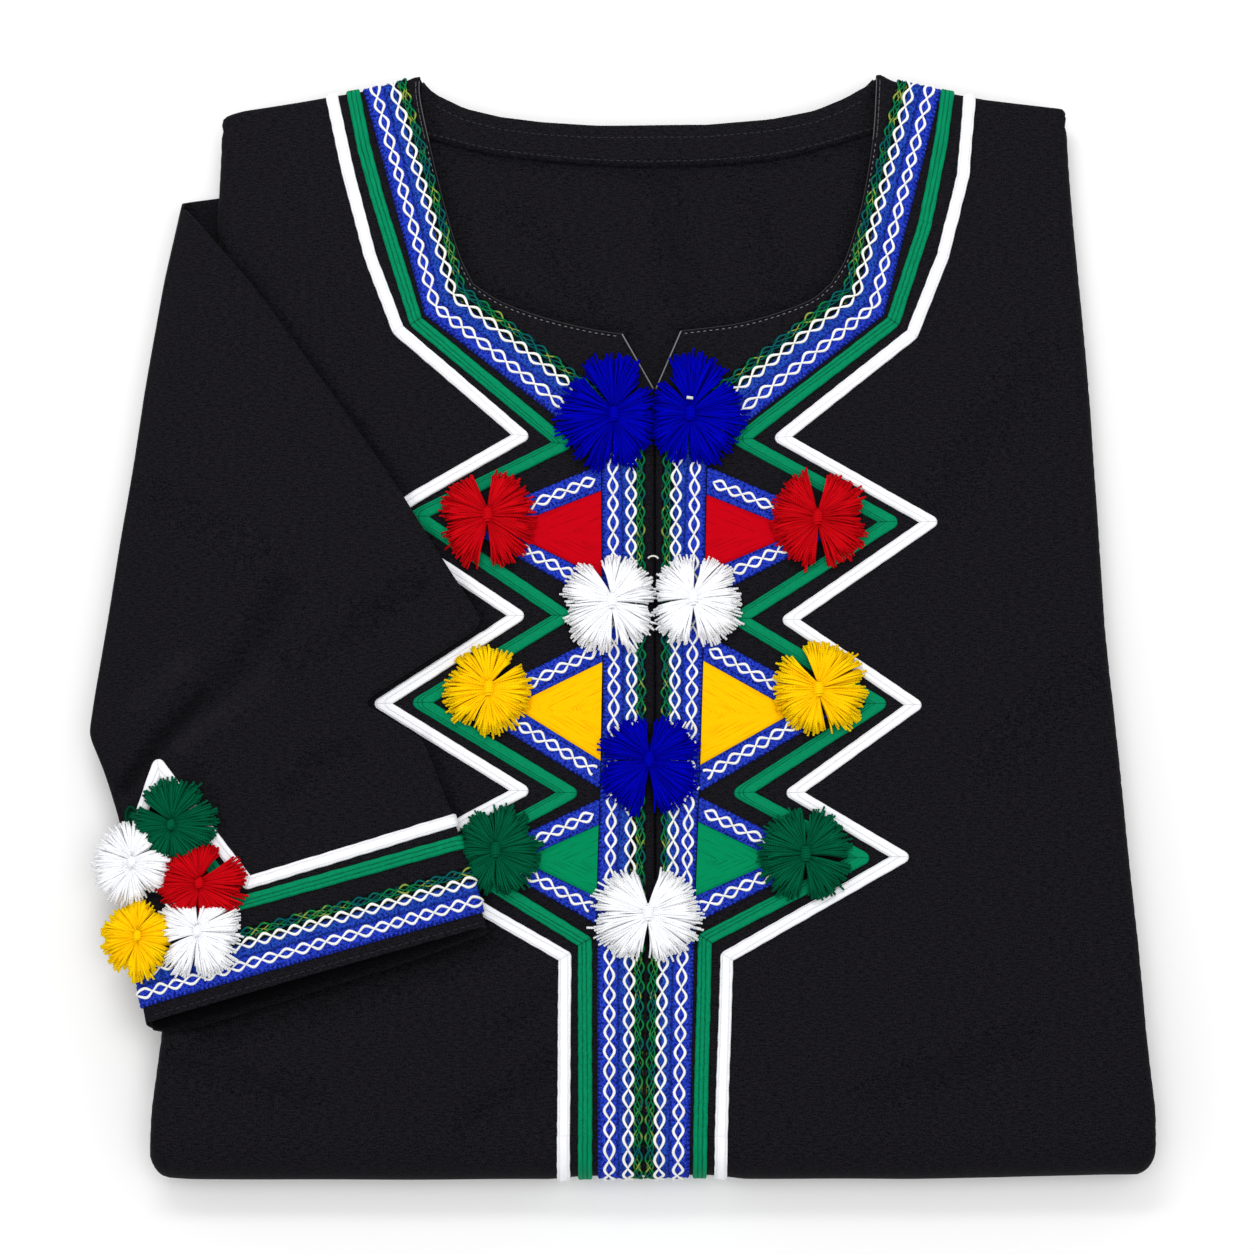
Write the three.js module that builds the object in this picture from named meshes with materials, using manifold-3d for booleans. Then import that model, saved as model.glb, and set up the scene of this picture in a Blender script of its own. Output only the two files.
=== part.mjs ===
// A kaftan dress, folded flat: the sides and the skirt are folded behind, the left sleeve lies
// over the front, and tapes, braid, satin patches and yarn pompoms trim the front and the cuff.
// Millimetres, +Z up. The origin is on the centre front, at mid height, on the flat underside.
// +Y runs to the neck, +X to the side away from the folded sleeve.
import * as THREE from 'three';
import Module from 'manifold-3d';

const wasm = await Module();
wasm.setup();

// ---- driving dimensions ----
const FOLD_Y = -223.5; // the front turns down into the bottom fold here
const SHOULDER_Y = 240; // mean height of the shoulder line
const FOLD_RADIUS = 15; // outer radius of the bottom fold
const FRONT_HEIGHT = { bottom: 2 * FOLD_RADIUS, shoulder: 20 }; // top of the stack above the floor
const CLOTH = 2; // wall of the panels
const SEAM_GAP = 0.3; // clearance between pieces that touch
const SIDE_CURL = { radius: 6, degrees: 125, steps: 5 }; // the front's side edges roll under
const BOTTOM_FLAP = 8; // flat stretch of the front under the stack, behind the bottom fold
// the front's corners at the shoulder: inset of the side edge, by distance below the shoulder
const CORNER_ROUND = [
  { below: 0, pull: 5 },
  { below: 1.5, pull: 2.2 },
  { below: 5, pull: 0 },
];
const FACING = 1.2; // wall of the back neck facing
const FACING_DEPTH = CLOTH + SEAM_GAP; // top of the facing below the top of the front
const BACK_DEPTH = FACING_DEPTH + FACING + SEAM_GAP; // top of the back panel, likewise
const CORE_DEPTH = BACK_DEPTH + CLOTH + SEAM_GAP; // top of the hidden layers, likewise
const TRIM = { low: SEAM_GAP, high: 1.5 }; // underside and top of a tape above its cloth
const PATCH = { low: SEAM_GAP, high: 1.1 };
const WHITE_TAPE_WIDTH = 5.6;
const GREEN_TAPE_WIDTH = 6.1;
const SLIT = { x: 1.3, width: 1.2, end: -112 }; // slit below the V of the neckline
const SLEEVE = { lift: TRIM.high + SEAM_GAP, thick: 4.6, droop: 13, round: 1.6, wide: 65 };
const TUCK = { wall: 3, gap: 1.6, aside: 0.8, inset: 1.5 }; // the sleeve's stretch from behind
const CUFF_SLOPE = 0.28; // rise of the cuff's edge towards +X
const MOUTH = { depth: 40, height: 0.9, inset: 8, outside: 11 }; // space inside the cuff
const STRANDS = 14; // locks of yarn in one pompom
const POMPOM = {
  lift: TRIM.high + 0.4, root: 5.2, under: 0.2, middle: 4, top: 9, half: 1.15, clearance: 0.6,
};
const LOCK_TIP = { spread: 0.15, half: 1.3, low: 1.9, high: 8 }; // spread in radians

// ---- outlines, in millimetres ----
// half outline of the folded body, by unrolled height; below FOLD_Y it runs round the fold
const SIDES = [
  { y: 236, left: -193.5, right: 187 },
  { y: 200, left: -194.7, right: 189.0 },
  { y: 100, left: -199.3, right: 195.6 },
  { y: 0, left: -204.0, right: 199.8 },
  { y: -100, left: -208.4, right: 206.3 },
  { y: -180, left: -212.3, right: 212.4 },
  { y: -212, left: -215.8, right: 216.3 },
  { y: -235, left: -216.4, right: 216.6 },
  { y: -247, left: -214.6, right: 214.4 },
  { y: -290, left: -213.0, right: 212.6 },
];
const CORNER_Y = 230; // the straight sides of the inner layers end here
const SHOULDERS = [
  { x: -194, y: 234 },
  { x: -146, y: 242 },
  { x: -109, y: 251 },
  { x: -105, y: 252.6 },
  { x: 102, y: 253.6 },
  { x: 107, y: 251.6 },
  { x: 146, y: 242 },
  { x: 165, y: 240 },
  { x: 188, y: 237.5 },
];
const BACK_NECK = [
  { x: -104, y: 253 },
  { x: -96, y: 244.6 },
  { x: -84, y: 238.8 },
  { x: -68, y: 234.6 },
  { x: -50, y: 232.2 },
  { x: -25, y: 230.8 },
  { x: 25, y: 231 },
  { x: 54, y: 234 },
  { x: 74, y: 238 },
  { x: 88, y: 243.8 },
  { x: 101, y: 253 },
];
const FACING_EDGE = [
  { x: -108, y: 228.5 },
  { x: -96, y: 224 },
  { x: -64, y: 216.6 },
  { x: -5, y: 212 },
  { x: 54, y: 215.3 },
  { x: 99, y: 227.4 },
  { x: 106, y: 230 },
];
// the neckline: down each side to its corner, then along to the V
const NECK = {
  left: {
    side: [[-105, 244], [-100.2, 222.6], [-93.2, 193.6], [-86.3, 170.3], [-79.9, 156.4]],
    bottom: [[-79.9, 156.4], [-69.1, 149], [-56.1, 143.4], [-41.4, 138.8], [-25.7, 135.1], [-13.2, 133.2]],
  },
  right: {
    side: [[101.8, 246], [99.8, 223.6], [95, 195.5], [87.5, 169.4], [80.2, 156.4]],
    bottom: [[80.2, 156.4], [69.4, 148], [42.6, 138.8], [13.1, 134.6]],
  },
};
const V_Y = 108; // foot of the V, where the slit starts
// matched points on the outer and the inner edge of each blue braid
const BRAID_LEFT = [
  { outer: [-101.3, 142], inner: [-83, 155.5] },
  { outer: [-42.3, 95], inner: [-30.1, 113] },
  { outer: [-22.4, 78], inner: [-3.1, 96] },
  { outer: [-22.2, 60], inner: [-3.1, 60] },
  { outer: [-21.5, -32], inner: [-3, -32] },
  { outer: [-24, -120], inner: [-3, -112] },
  { outer: [-23.9, -150], inner: [-3.5, -150] },
  { outer: [-23.6, FOLD_Y], inner: [-4.4, FOLD_Y] },
];
const BRAID_RIGHT = [
  { outer: [103.8, 142], inner: [85.5, 155.5] },
  { outer: [45.3, 95], inner: [33.1, 113] },
  { outer: [24.6, 78], inner: [5.5, 96] },
  { outer: [24, 60], inner: [4.3, 60] },
  { outer: [21.9, -32], inner: [4.3, -32] },
  { outer: [18.5, -120], inner: [4.2, -112] },
  { outer: [17.9, -150], inner: [-1.9, -150] },
  { outer: [16, FOLD_Y], inner: [-3.4, FOLD_Y] },
];
const BRAID_SHOULDER = { left: [-129.9, -110.4], right: [130.6, 111] };
// centre lines of the zigzag tapes, from the shoulder to the bottom fold
const TAPES = {
  white_tape_left: [
    [-136.5, 208.6], [-126.1, 169.4], [-113.2, 135.1], [-57.6, 86.4], [-122.4, 48.2], [-59, 4.9],
    [-118.8, -34.4], [-56.8, -73], [-112, -102.5], [-37.9, -145.7], [-38.3, FOLD_Y],
  ],
  white_tape_right: [
    [140.1, 206.7], [130.5, 169.4], [116.2, 133.2], [57.4, 85.5], [123.4, 47.3], [60.3, 3.1],
    [115.2, -34.9], [61.5, -73.9], [108.7, -102.1], [32.3, -145.7], [29.4, FOLD_Y],
  ],
  green_tape_left: [
    [-129.4, 220], [-122.8, 195.5], [-105.2, 138.8], [-39, 82.8], [-104.3, 50], [-38.7, 4.9],
    [-101.7, -34], [-35.9, -73.9], [-88, -102.5], [-29.2, -139.2], [-29, FOLD_Y],
  ],
  green_tape_right: [
    [130.3, 222], [122.7, 184.3], [107.8, 138.8], [39.2, 84.6], [105.7, 47.3], [37.9, 3.6],
    [99.5, -34.4], [38.8, -73.9], [91.3, -102.5], [22.8, -137.9], [20.4, FOLD_Y],
  ],
};
const TAPE_SHOULDER = {
  white_tape_left: -143.9,
  white_tape_right: 143.5,
  green_tape_left: -134.4,
  green_tape_right: 133.6,
};
// pointed frames beside the braid: heights at the braid, and the points they run out to
const FRAMES = [
  {
    name: 'red_left', side: -1, outer: [73.5, 10], inner: [61.4, 22],
    point: [-79, 46], apex: [-66.3, 44.1],
  },
  {
    name: 'red_right', side: 1, outer: [72.5, 12], inner: [59.6, 24.7],
    point: [80, 45], apex: [65.5, 42.8],
  },
  {
    name: 'yellow_left', side: -1, outer: [-3.5, -72], inner: [-15.7, -59.7],
    point: [-77, -35], apex: [-61.4, -35.3],
  },
  {
    name: 'yellow_right', side: 1, outer: [-3, -73.5], inner: [-15.2, -61.5],
    point: [78, -36.5], apex: [62.6, -38],
  },
  {
    name: 'green_left', side: -1, outer: [-76.5, -131.5], inner: [-88, -119.6],
    point: [-70, -102], apex: [-57.6, -103.4],
  },
  {
    name: 'green_right', side: 1, outer: [-75.5, -131], inner: [-86.7, -119.1],
    point: [68, -103], apex: [54.7, -103.4],
  },
];
const FRAME_TIP = 3.5; // half width of a frame's blunt point
// pompoms: centre, and reach to the left, right, up and down
const FRONT_POMPOMS = [
  { name: 'blue_left', colour: 'blue', x: -16.8, y: 94.7, left: 24, right: 17, up: 28, down: 23 },
  { name: 'blue_right', colour: 'blue', x: 17, y: 95.1, left: 16, right: 24, up: 28, down: 23 },
  { name: 'red_left', colour: 'red', x: -72.5, y: 49.1, left: 19, right: 20, up: 18, down: 20 },
  { name: 'red_right', colour: 'red', x: 73, y: 47.8, left: 19, right: 20, up: 20, down: 18 },
  { name: 'white_left', colour: 'white', x: -17.6, y: 10.3, left: 21, right: 18, up: 21, down: 20 },
  { name: 'white_right', colour: 'white', x: 18.1, y: 11.7, left: 17, right: 21, up: 19, down: 20 },
  { name: 'yellow_left', colour: 'yellow', x: -71.5, y: -28.6, left: 18, right: 17, up: 18, down: 19 },
  { name: 'yellow_right', colour: 'yellow', x: 72.8, y: -29.1, left: 18, right: 20, up: 19, down: 19 },
  { name: 'blue_centre', colour: 'blue', x: -1.4, y: -60.2, left: 21, right: 21, up: 17, down: 21 },
  { name: 'green_left', colour: 'green', x: -68, y: -99.9, left: 12, right: 19, up: 19, down: 20 },
  { name: 'green_right', colour: 'green', x: 66.5, y: -101.6, left: 18, right: 17, up: 19, down: 20 },
  { name: 'white_centre', colour: 'white', x: -1.9, y: -127.4, left: 25, right: 22, up: 17, down: 19 },
];
const CUFF_POMPOMS = [
  { name: 'cuff_green', colour: 'green', x: -208.3, y: -86.1, left: 17, right: 17, up: 17, down: 17 },
  { name: 'cuff_white_upper', colour: 'white', x: -225.7, y: -105.4, left: 16, right: 16, up: 16, down: 16 },
  { name: 'cuff_red', colour: 'red', x: -195.6, y: -112.8, left: 17, right: 17, up: 17, down: 17 },
  { name: 'cuff_yellow', colour: 'yellow', x: -222.3, y: -137.6, left: 14, right: 14, up: 14, down: 14 },
  { name: 'cuff_white_lower', colour: 'white', x: -196, y: -135.9, left: 17, right: 17, up: 17, down: 17 },
];
// matched points on the two long edges of the folded sleeve, from its tip to the cuff;
// the right edge is notched at the inside of the elbow
const SLEEVE_ROWS = [
  { left: [-210.5, 190.5], right: [-206, 187] },
  { left: [-217.4, 156.6], right: [-176.4, 152.9] },
  { left: [-224.4, 110.6], right: [-138.2, 99.7] },
  { left: [-228.9, 74.2], right: [-111.2, 60.6] },
  { left: [-234.3, 38], right: [-92.8, 30.8] },
  { left: [-238, 10], right: [-73.5, 0.6] },
  { left: [-245.8, -45.6], right: [-127, -34.4] },
  { left: [-238.5, -64], right: [-100, -51] },
  { left: [-231.3, -86.1], right: [-87.1, -83.1] },
  { left: [-226, -122], right: [-79, -108.5] },
  { left: [-221, -158.4], right: [-74.5, -124] },
  { left: [-217.5, -174.8], right: [-72, -132.8] },
];
const SLEEVE_COLUMNS = [0.04, 0.08, 0.13, 0.19, 0.27, 0.37, 0.48, 0.6, 0.72, 0.84, 0.93];
// soft troughs on the sleeve: ends, half width and depth
const SLEEVE_CREASES = [
  { from: [-231, -64], to: [-198, -33], half: 11, depth: 1.5 },
  { from: [-198, -33], to: [-165, -10], half: 10, depth: 1.1 },
  { from: [-150, -8], to: [-125, 3], half: 9, depth: 0.7 },
  { from: [-168, -81], to: [-142, -64], half: 8, depth: 0.6 },
];
// how far the under side of the cuff shows past the upper side, by share of the cuff's width
const CUFF_LAP = [
  { share: 0, lap: 1.5 },
  { share: 0.1, lap: 5 },
  { share: 0.3, lap: 6.5 },
  { share: 0.6, lap: 5.5 },
  { share: 0.85, lap: 3.5 },
  { share: 1, lap: 1 },
];
const CUFF_WHITE = [[-228, -101], [-215.3, -62.4], [-175.2, -114.1], [-87.6, -87.2]];
const CUFF_GREEN = [[-211, -79], [-179.4, -123.3], [-84.5, -96.9]];
const CUFF_BRAID = { left: -220.5, right: -79, upper: [-145.9, -107], lower: [-168.2, -128.6] };

const COLOURS = {
  cloth: 0x19191b, white: 0xf4f4f2, green_tape: 0x05945f, braid: 0x2b3fc0, red: 0xd20010,
  yellow: 0xffbe00, green: 0x00563a, blue: 0x0000be, green_satin: 0x05915a,
};

// ---- small tools ----
const lerp = THREE.MathUtils.lerp;
const radians = THREE.MathUtils.degToRad;
const vec = (x, y, z) => new THREE.Vector3(x, y, z);

// value of column `to` at `at` in a table sorted by column `by`
function lookUp(table, by, to, at) {
  const rising = table[table.length - 1][by] > table[0][by];
  const rows = rising ? table : [...table].reverse();
  if (at <= rows[0][by]) return rows[0][to];
  const next = rows.findIndex((row) => row[by] >= at);
  if (next < 0) return rows[rows.length - 1][to];
  const [a, b] = [rows[next - 1], rows[next]];
  return lerp(a[to], b[to], (at - a[by]) / (b[by] - a[by]));
}

// a closed geometry from points and triangles, turned so that its faces point out
function closed(points, triangles) {
  let volume = 0;
  for (const [a, b, c] of triangles) {
    volume += points[a].dot(points[b].clone().cross(points[c]));
  }
  const geometry = new THREE.BufferGeometry();
  const positions = points.flatMap((p) => [p.x, p.y, p.z]);
  geometry.setAttribute('position', new THREE.Float32BufferAttribute(positions, 3));
  geometry.setIndex(triangles.flatMap(([a, b, c]) => (volume < 0 ? [a, c, b] : [a, b, c])));
  return geometry;
}

// a solid through closed rings of matched points, capped flat at both ends;
// `flatten` gives the two coordinates in which a cap is triangulated
function loft(rings, flatten) {
  const size = rings[0].length;
  const triangles = [];
  for (let r = 0; r + 1 < rings.length; r += 1) {
    for (let i = 0; i < size; i += 1) {
      const j = (i + 1) % size;
      const [a, b, c, d] = [r * size + i, r * size + j, (r + 1) * size + i, (r + 1) * size + j];
      triangles.push([a, b, d], [a, d, c]);
    }
  }
  for (const [r, turn] of [[0, 1], [rings.length - 1, -1]]) {
    const contour = rings[r].map((p) => new THREE.Vector2(...flatten(p)));
    // triangulateShape keeps the contour's own turning sense
    const clockwise = THREE.ShapeUtils.isClockWise(contour);
    const faces = THREE.ShapeUtils.triangulateShape(clockwise ? [...contour].reverse() : contour, []);
    for (const face of faces) {
      const [a, b, c] = face.map((i) => r * size + (clockwise ? size - 1 - i : i));
      const along = clockwise ? [a, c, b] : [a, b, c];
      triangles.push(turn > 0 ? [along[0], along[2], along[1]] : along);
    }
  }
  return closed(rings.flat(), triangles);
}
const fromAbove = (p) => [p.x, p.y];
const fromFront = (p) => [p.x, p.z];

// a wall between two matching grids of points
function gridWall(outer, inner) {
  const [rows, columns] = [outer.length, outer[0].length];
  const at = (side, r, c) => side * rows * columns + r * columns + c;
  const triangles = [];
  for (let r = 0; r + 1 < rows; r += 1) {
    for (let c = 0; c + 1 < columns; c += 1) {
      for (const side of [0, 1]) {
        const [a, b] = [at(side, r, c), at(side, r, c + 1)];
        const [d, e] = [at(side, r + 1, c), at(side, r + 1, c + 1)];
        triangles.push(...(side ? [[a, e, b], [a, d, e]] : [[a, b, e], [a, e, d]]));
      }
    }
  }
  const rim = [];
  for (let c = 0; c + 1 < columns; c += 1) rim.push([0, c]);
  for (let r = 0; r + 1 < rows; r += 1) rim.push([r, columns - 1]);
  for (let c = columns - 1; c > 0; c -= 1) rim.push([rows - 1, c]);
  for (let r = rows - 1; r > 0; r -= 1) rim.push([r, 0]);
  rim.forEach(([r, c], i) => {
    const [nextR, nextC] = rim[(i + 1) % rim.length];
    const [a, b] = [at(0, r, c), at(0, nextR, nextC)];
    const [d, e] = [at(1, r, c), at(1, nextR, nextC)];
    triangles.push([a, e, b], [a, d, e]);
  });
  return closed([...outer.flat(), ...inner.flat()], triangles);
}

function toManifold(geometry) {
  const positions = geometry.getAttribute('position').array;
  const mesh = new wasm.Mesh({
    numProp: 3,
    vertProperties: new Float32Array(positions),
    triVerts: new Uint32Array(geometry.getIndex().array),
  });
  return new wasm.Manifold(mesh);
}

function fromManifold(solid) {
  const mesh = solid.getMesh();
  const geometry = new THREE.BufferGeometry();
  geometry.setAttribute('position', new THREE.BufferAttribute(mesh.vertProperties, 3));
  geometry.setIndex(new THREE.BufferAttribute(mesh.triVerts, 1));
  return geometry;
}

const cut = (geometry, tool) => fromManifold(toManifold(geometry).subtract(toManifold(tool)));

// a smooth curve through places [x, y], as places
function smooth(places, parts) {
  const curve = new THREE.SplineCurve(places.map((place) => new THREE.Vector2(...place)));
  return curve.getPoints(parts).map((p) => [p.x, p.y]);
}

// ---- the surface of the folded front ----
const frontTop = (y) =>
  lerp(FRONT_HEIGHT.bottom, FRONT_HEIGHT.shoulder, (y - FOLD_Y) / (SHOULDER_Y - FOLD_Y));
const shoulderY = (x) => lookUp(SHOULDERS, 'x', 'y', x);
const bodyLeft = (y) => lookUp(SIDES, 'y', 'left', y);
const bodyRight = (y) => lookUp(SIDES, 'y', 'right', y);

// a point above the front, by unrolled position: flat, then round the bottom fold, then under
function onFront(x, y, lift) {
  if (y >= FOLD_Y) return vec(x, y, frontTop(y) + lift);
  const angle = (FOLD_Y - y) / FOLD_RADIUS;
  if (angle > Math.PI) return vec(x, FOLD_Y + (angle - Math.PI) * FOLD_RADIUS, -lift);
  const radius = FOLD_RADIUS + lift;
  return vec(x, FOLD_Y - radius * Math.sin(angle), FOLD_RADIUS + radius * Math.cos(angle));
}
const FOLD_STEP = Math.PI / 9;
const foldY = (step) => FOLD_Y - FOLD_RADIUS * FOLD_STEP * step;

// ---- front panel ----
function frontPanel() {
  const straight = CORNER_ROUND[CORNER_ROUND.length - 1].below;
  const long = (f) => (x) => lerp(shoulderY(x) - straight, FOLD_Y, f);
  const rows = [
    ...CORNER_ROUND.map(({ below, pull }) => ({ pull, y: (x) => shoulderY(x) - below })),
    ...[0.15, 0.3, 0.5, 0.7, 0.85, 0.95, 1].map((f) => ({ pull: 0, y: long(f) })),
    ...[1, 2, 3, 4, 5, 6, 7, 8, 9].map((step) => ({ pull: 0, y: () => foldY(step) })),
    { pull: 0, y: () => foldY(9) - BOTTOM_FLAP },
  ];
  const middle = SHOULDERS.slice(1, -1).map((point) => point.x);
  const { radius, degrees, steps } = SIDE_CURL;
  const wall = (depth) =>
    rows.map(({ pull, y }) => {
      const curl = (side, edge) => {
        const points = [];
        for (let k = steps; k >= 0; k -= 1) {
          const angle = radians((degrees * k) / steps);
          const reach = radius - depth;
          const x = edge - side * (radius - reach * Math.sin(angle));
          points.push(onFront(x, y(edge), reach * Math.cos(angle) - radius));
        }
        return points;
      };
      const left = bodyLeft(y(SHOULDERS[0].x)) + pull;
      const right = bodyRight(y(SHOULDERS[SHOULDERS.length - 1].x)) - pull;
      return [
        ...curl(-1, left),
        ...middle.map((x) => onFront(x, y(x), -depth)),
        ...curl(1, right).reverse(),
      ];
    });
  return cut(gridWall(wall(0), wall(CLOTH)), neckTool());
}

// the neckline, its V and the slit below, as a cutter
function neckTool() {
  const half = SLIT.width / 2;
  const above = 262; // clear of the shoulders
  const side = (name, slitX) => [
    [NECK[name].side[0][0], above],
    ...smooth(NECK[name].side, 12),
    ...smooth(NECK[name].bottom, 12).slice(1),
    [slitX, V_Y],
    [slitX, SLIT.end],
  ];
  const outline = [...side('left', SLIT.x - half), ...side('right', SLIT.x + half).reverse()];
  const ring = (z) => outline.map(([x, y]) => vec(x, y, z));
  return loft([ring(FRONT_HEIGHT.shoulder / 2), ring(FRONT_HEIGHT.bottom + 10)], fromAbove);
}

// ---- flat pieces that lie at a depth under the front, or on it ----
function plate(outline, low, high) {
  const ring = (lift) => outline.map(([x, y]) => onFront(x, y, lift));
  return loft([ring(low), ring(high)], fromAbove);
}

const neckEdge = (inset) => BACK_NECK.map(({ x, y }) => [x, y - inset]);
const shoulderPoints = (from, to, inset) =>
  SHOULDERS.filter(({ x }) => x > from && x < to).map(({ x, y }) => [x, y - inset]);

function backPanel() {
  const inset = SIDE_CURL.radius + 0.8;
  const underShoulder = 1.2;
  const [top, bottom] = [CORNER_Y, FOLD_Y + 1];
  const heights = [top, ...SIDES.map((row) => row.y).filter((y) => y < top && y > FOLD_Y), bottom];
  const outline = [
    ...heights.map((y) => [bodyLeft(y) + inset, y]),
    ...heights.map((y) => [bodyRight(y) - inset, y]).reverse(),
    ...shoulderPoints(104, 186, underShoulder).reverse(),
    ...neckEdge(0).reverse(),
    ...shoulderPoints(-190, -108, underShoulder).reverse(),
  ];
  return plate(outline, -BACK_DEPTH - CLOTH, -BACK_DEPTH);
}

function backNeckFacing() {
  const lower = smooth(FACING_EDGE.map(({ x, y }) => [x, y]), 24);
  const ends = { right: [104.5, 245], left: [-107, 245] };
  const upper = neckEdge(0.6).reverse();
  return plate([...lower, ends.right, ...upper, ends.left], -BACK_DEPTH + SEAM_GAP, -FACING_DEPTH);
}

// ---- hidden layers: the skirt, hem and sides, folded in bundles ----
// inset from the outline, and height: below the front, or as a share of the lower bundles
const BUNDLES = [
  { inset: 9, below: 0 },
  { inset: 4.4, below: 0.3 },
  { inset: 2.9, below: 1.2 },
  { inset: 3.3, below: 2.3 },
  { inset: 5.2, below: 3.6 },
  { inset: 4.2, share: 0.995 },
  { inset: 1.6, share: 0.9 },
  { inset: 0.9, share: 0.76 },
  { inset: 1.6, share: 0.6 },
  { inset: 4, share: 0.51 },
  { inset: 4, share: 0.49 },
  { inset: 2.6, share: 0.4 },
  { inset: 2, share: 0.25 },
  { inset: 2.6, share: 0.1 },
  { inset: 4.5, share: 0 },
];
const LOWER_BUNDLES_TOP = CORE_DEPTH + 4.1; // top of the lower bundles below the front

function bundleZ({ below, share }, y) {
  const top = frontTop(y);
  return share === undefined ? top - CORE_DEPTH - below : (top - LOWER_BUNDLES_TOP) * share;
}

// outline of the hidden layers from the bottom right, over the shoulders, to the bottom left
function layersOutline(start) {
  const heights = [start, -200, -150, -100, 0, 100, 200, CORNER_Y - 4];
  const diagonal = (side) => new THREE.Vector2(side, 1).normalize();
  const corner = (x, side) => ({ x, y: shoulderY(x) - 3, out: diagonal(side) });
  const onSide = (x, y) => ({ x, y, out: new THREE.Vector2(Math.sign(x), 0) });
  const onTop = ([x, y]) => ({ x, y, out: new THREE.Vector2(0, 1) });
  const [underShoulder, underNeck] = [0.6, 0.4];
  return [
    ...heights.map((y) => onSide(bodyRight(y), y)),
    corner(bodyRight(CORNER_Y) - 3, 1),
    ...shoulderPoints(104, 180, underShoulder).reverse().map(onTop),
    ...neckEdge(underNeck).slice(1, -1).reverse().map(onTop),
    ...shoulderPoints(-180, -108, underShoulder).reverse().map(onTop),
    corner(bodyLeft(CORNER_Y) + 3, -1),
    ...heights.map((y) => onSide(bodyLeft(y), y)).reverse(),
  ];
}

// the layers inside the bottom fold, which are narrower than the stack; lengths of the steps
const IN_FOLD = { narrower: 9, shoulder: 2, beside: 0.3, end: 0.8 };

function foldedLayers() {
  const start = FOLD_Y + BOTTOM_FLAP + 1.5;
  const outline = layersOutline(start);
  const coreRadius = FOLD_RADIUS - CORE_DEPTH;
  const turns = BUNDLES.length - 3;
  const rings = BUNDLES.map((bundle, k) => {
    const around = outline.map(({ x, y, out }) => {
      const [px, py] = [x - out.x * bundle.inset, y - out.y * bundle.inset];
      return vec(px, py, bundleZ(bundle, py));
    });
    const inFold = (edge) => {
      const x = edge - Math.sign(edge) * IN_FOLD.shoulder;
      const angle = (Math.PI * Math.min(k, turns)) / turns;
      if (k > turns) return vec(x, start - IN_FOLD.end, k === turns + 1 ? 2 * CLOTH : 0);
      const y = FOLD_Y - coreRadius * Math.sin(angle);
      return vec(x, y, FOLD_RADIUS + coreRadius * Math.cos(angle));
    };
    const beside = (x) => vec(x, start - IN_FOLD.beside, bundleZ(bundle, start));
    const left = bodyLeft(start) + IN_FOLD.narrower;
    const right = bodyRight(start) - IN_FOLD.narrower;
    return [...around, beside(left), inFold(left), inFold(right), beside(right)];
  });
  return loft(rings, fromAbove);
}

// ---- tapes and braids ----
// a strip of cloth between two edges; `pairs` holds matched points [x, y] on both edges
function strip(pairs, { low, high }, surface) {
  const rings = pairs.map(([a, b]) => [
    surface(...a, low), surface(...a, high), surface(...b, high), surface(...b, low),
  ]);
  return stripSolid(rings);
}

function stripSolid(rings) {
  const triangles = [];
  for (let r = 0; r + 1 < rings.length; r += 1) {
    for (let i = 0; i < 4; i += 1) {
      const j = (i + 1) % 4;
      const [a, b, c, d] = [4 * r + i, 4 * r + j, 4 * r + 4 + i, 4 * r + 4 + j];
      triangles.push([a, b, d], [a, d, c]);
    }
  }
  const last = 4 * (rings.length - 1);
  triangles.push([0, 2, 1], [0, 3, 2], [last, last + 1, last + 2], [last, last + 2, last + 3]);
  return closed(rings.flat(), triangles);
}

// matched points on both edges of a tape with mitred corners
function tapePairs(path, width) {
  const points = path.map((p) => new THREE.Vector2(...p));
  const normals = points.slice(1).map((p, i) => {
    const along = p.clone().sub(points[i]).normalize();
    return new THREE.Vector2(along.y, -along.x);
  });
  return points.map((p, i) => {
    const [before, after] = [normals[Math.max(i - 1, 0)], normals[Math.min(i, normals.length - 1)]];
    const mitre = before.clone().add(after).normalize();
    mitre.multiplyScalar(width / 2 / mitre.dot(after));
    return [p.clone().add(mitre).toArray(), p.clone().sub(mitre).toArray()];
  });
}

// the stretch round the bottom fold that a trim runs down to
const TRIM_FOLD_STEPS = [1, 2, 3, 4, 5, 6, 7];

function zigzagTape(name, width) {
  const path = TAPES[name];
  const atShoulder = TAPE_SHOULDER[name];
  const pairs = tapePairs([[atShoulder, shoulderY(atShoulder)], ...path], width);
  pairs[0] = pairs[0].map(([x]) => [x, shoulderY(x)]);
  const [left, right] = pairs[pairs.length - 1];
  for (const step of TRIM_FOLD_STEPS) {
    pairs.push([[left[0], foldY(step)], [right[0], foldY(step)]]);
  }
  return strip(pairs, TRIM, onFront);
}

function neckBraid(edges, shoulder) {
  const first = shoulder.map((x) => [x, shoulderY(x)]);
  const pairs = [first, ...edges.map(({ outer, inner }) => [outer, inner])];
  const last = edges[edges.length - 1];
  for (const step of TRIM_FOLD_STEPS) {
    pairs.push([[last.outer[0], foldY(step)], [last.inner[0], foldY(step)]]);
  }
  return strip(pairs, TRIM, onFront);
}

// x of a braid's outer edge where a frame meets it
function braidEdge(side, y) {
  const edges = (side < 0 ? BRAID_LEFT : BRAID_RIGHT).slice(2);
  const table = edges.map(({ outer }) => ({ x: outer[0], y: outer[1] }));
  return lookUp(table, 'y', 'x', y) + side * 2 * SEAM_GAP;
}

function frameOutline({ side, outer, inner, point, apex }) {
  const at = (y) => [braidEdge(side, y), y];
  return [
    at(outer[0]), [point[0], point[1] + FRAME_TIP], [point[0], point[1] - FRAME_TIP], at(outer[1]),
    at(inner[1]), apex, at(inner[0]),
  ];
}

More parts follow.
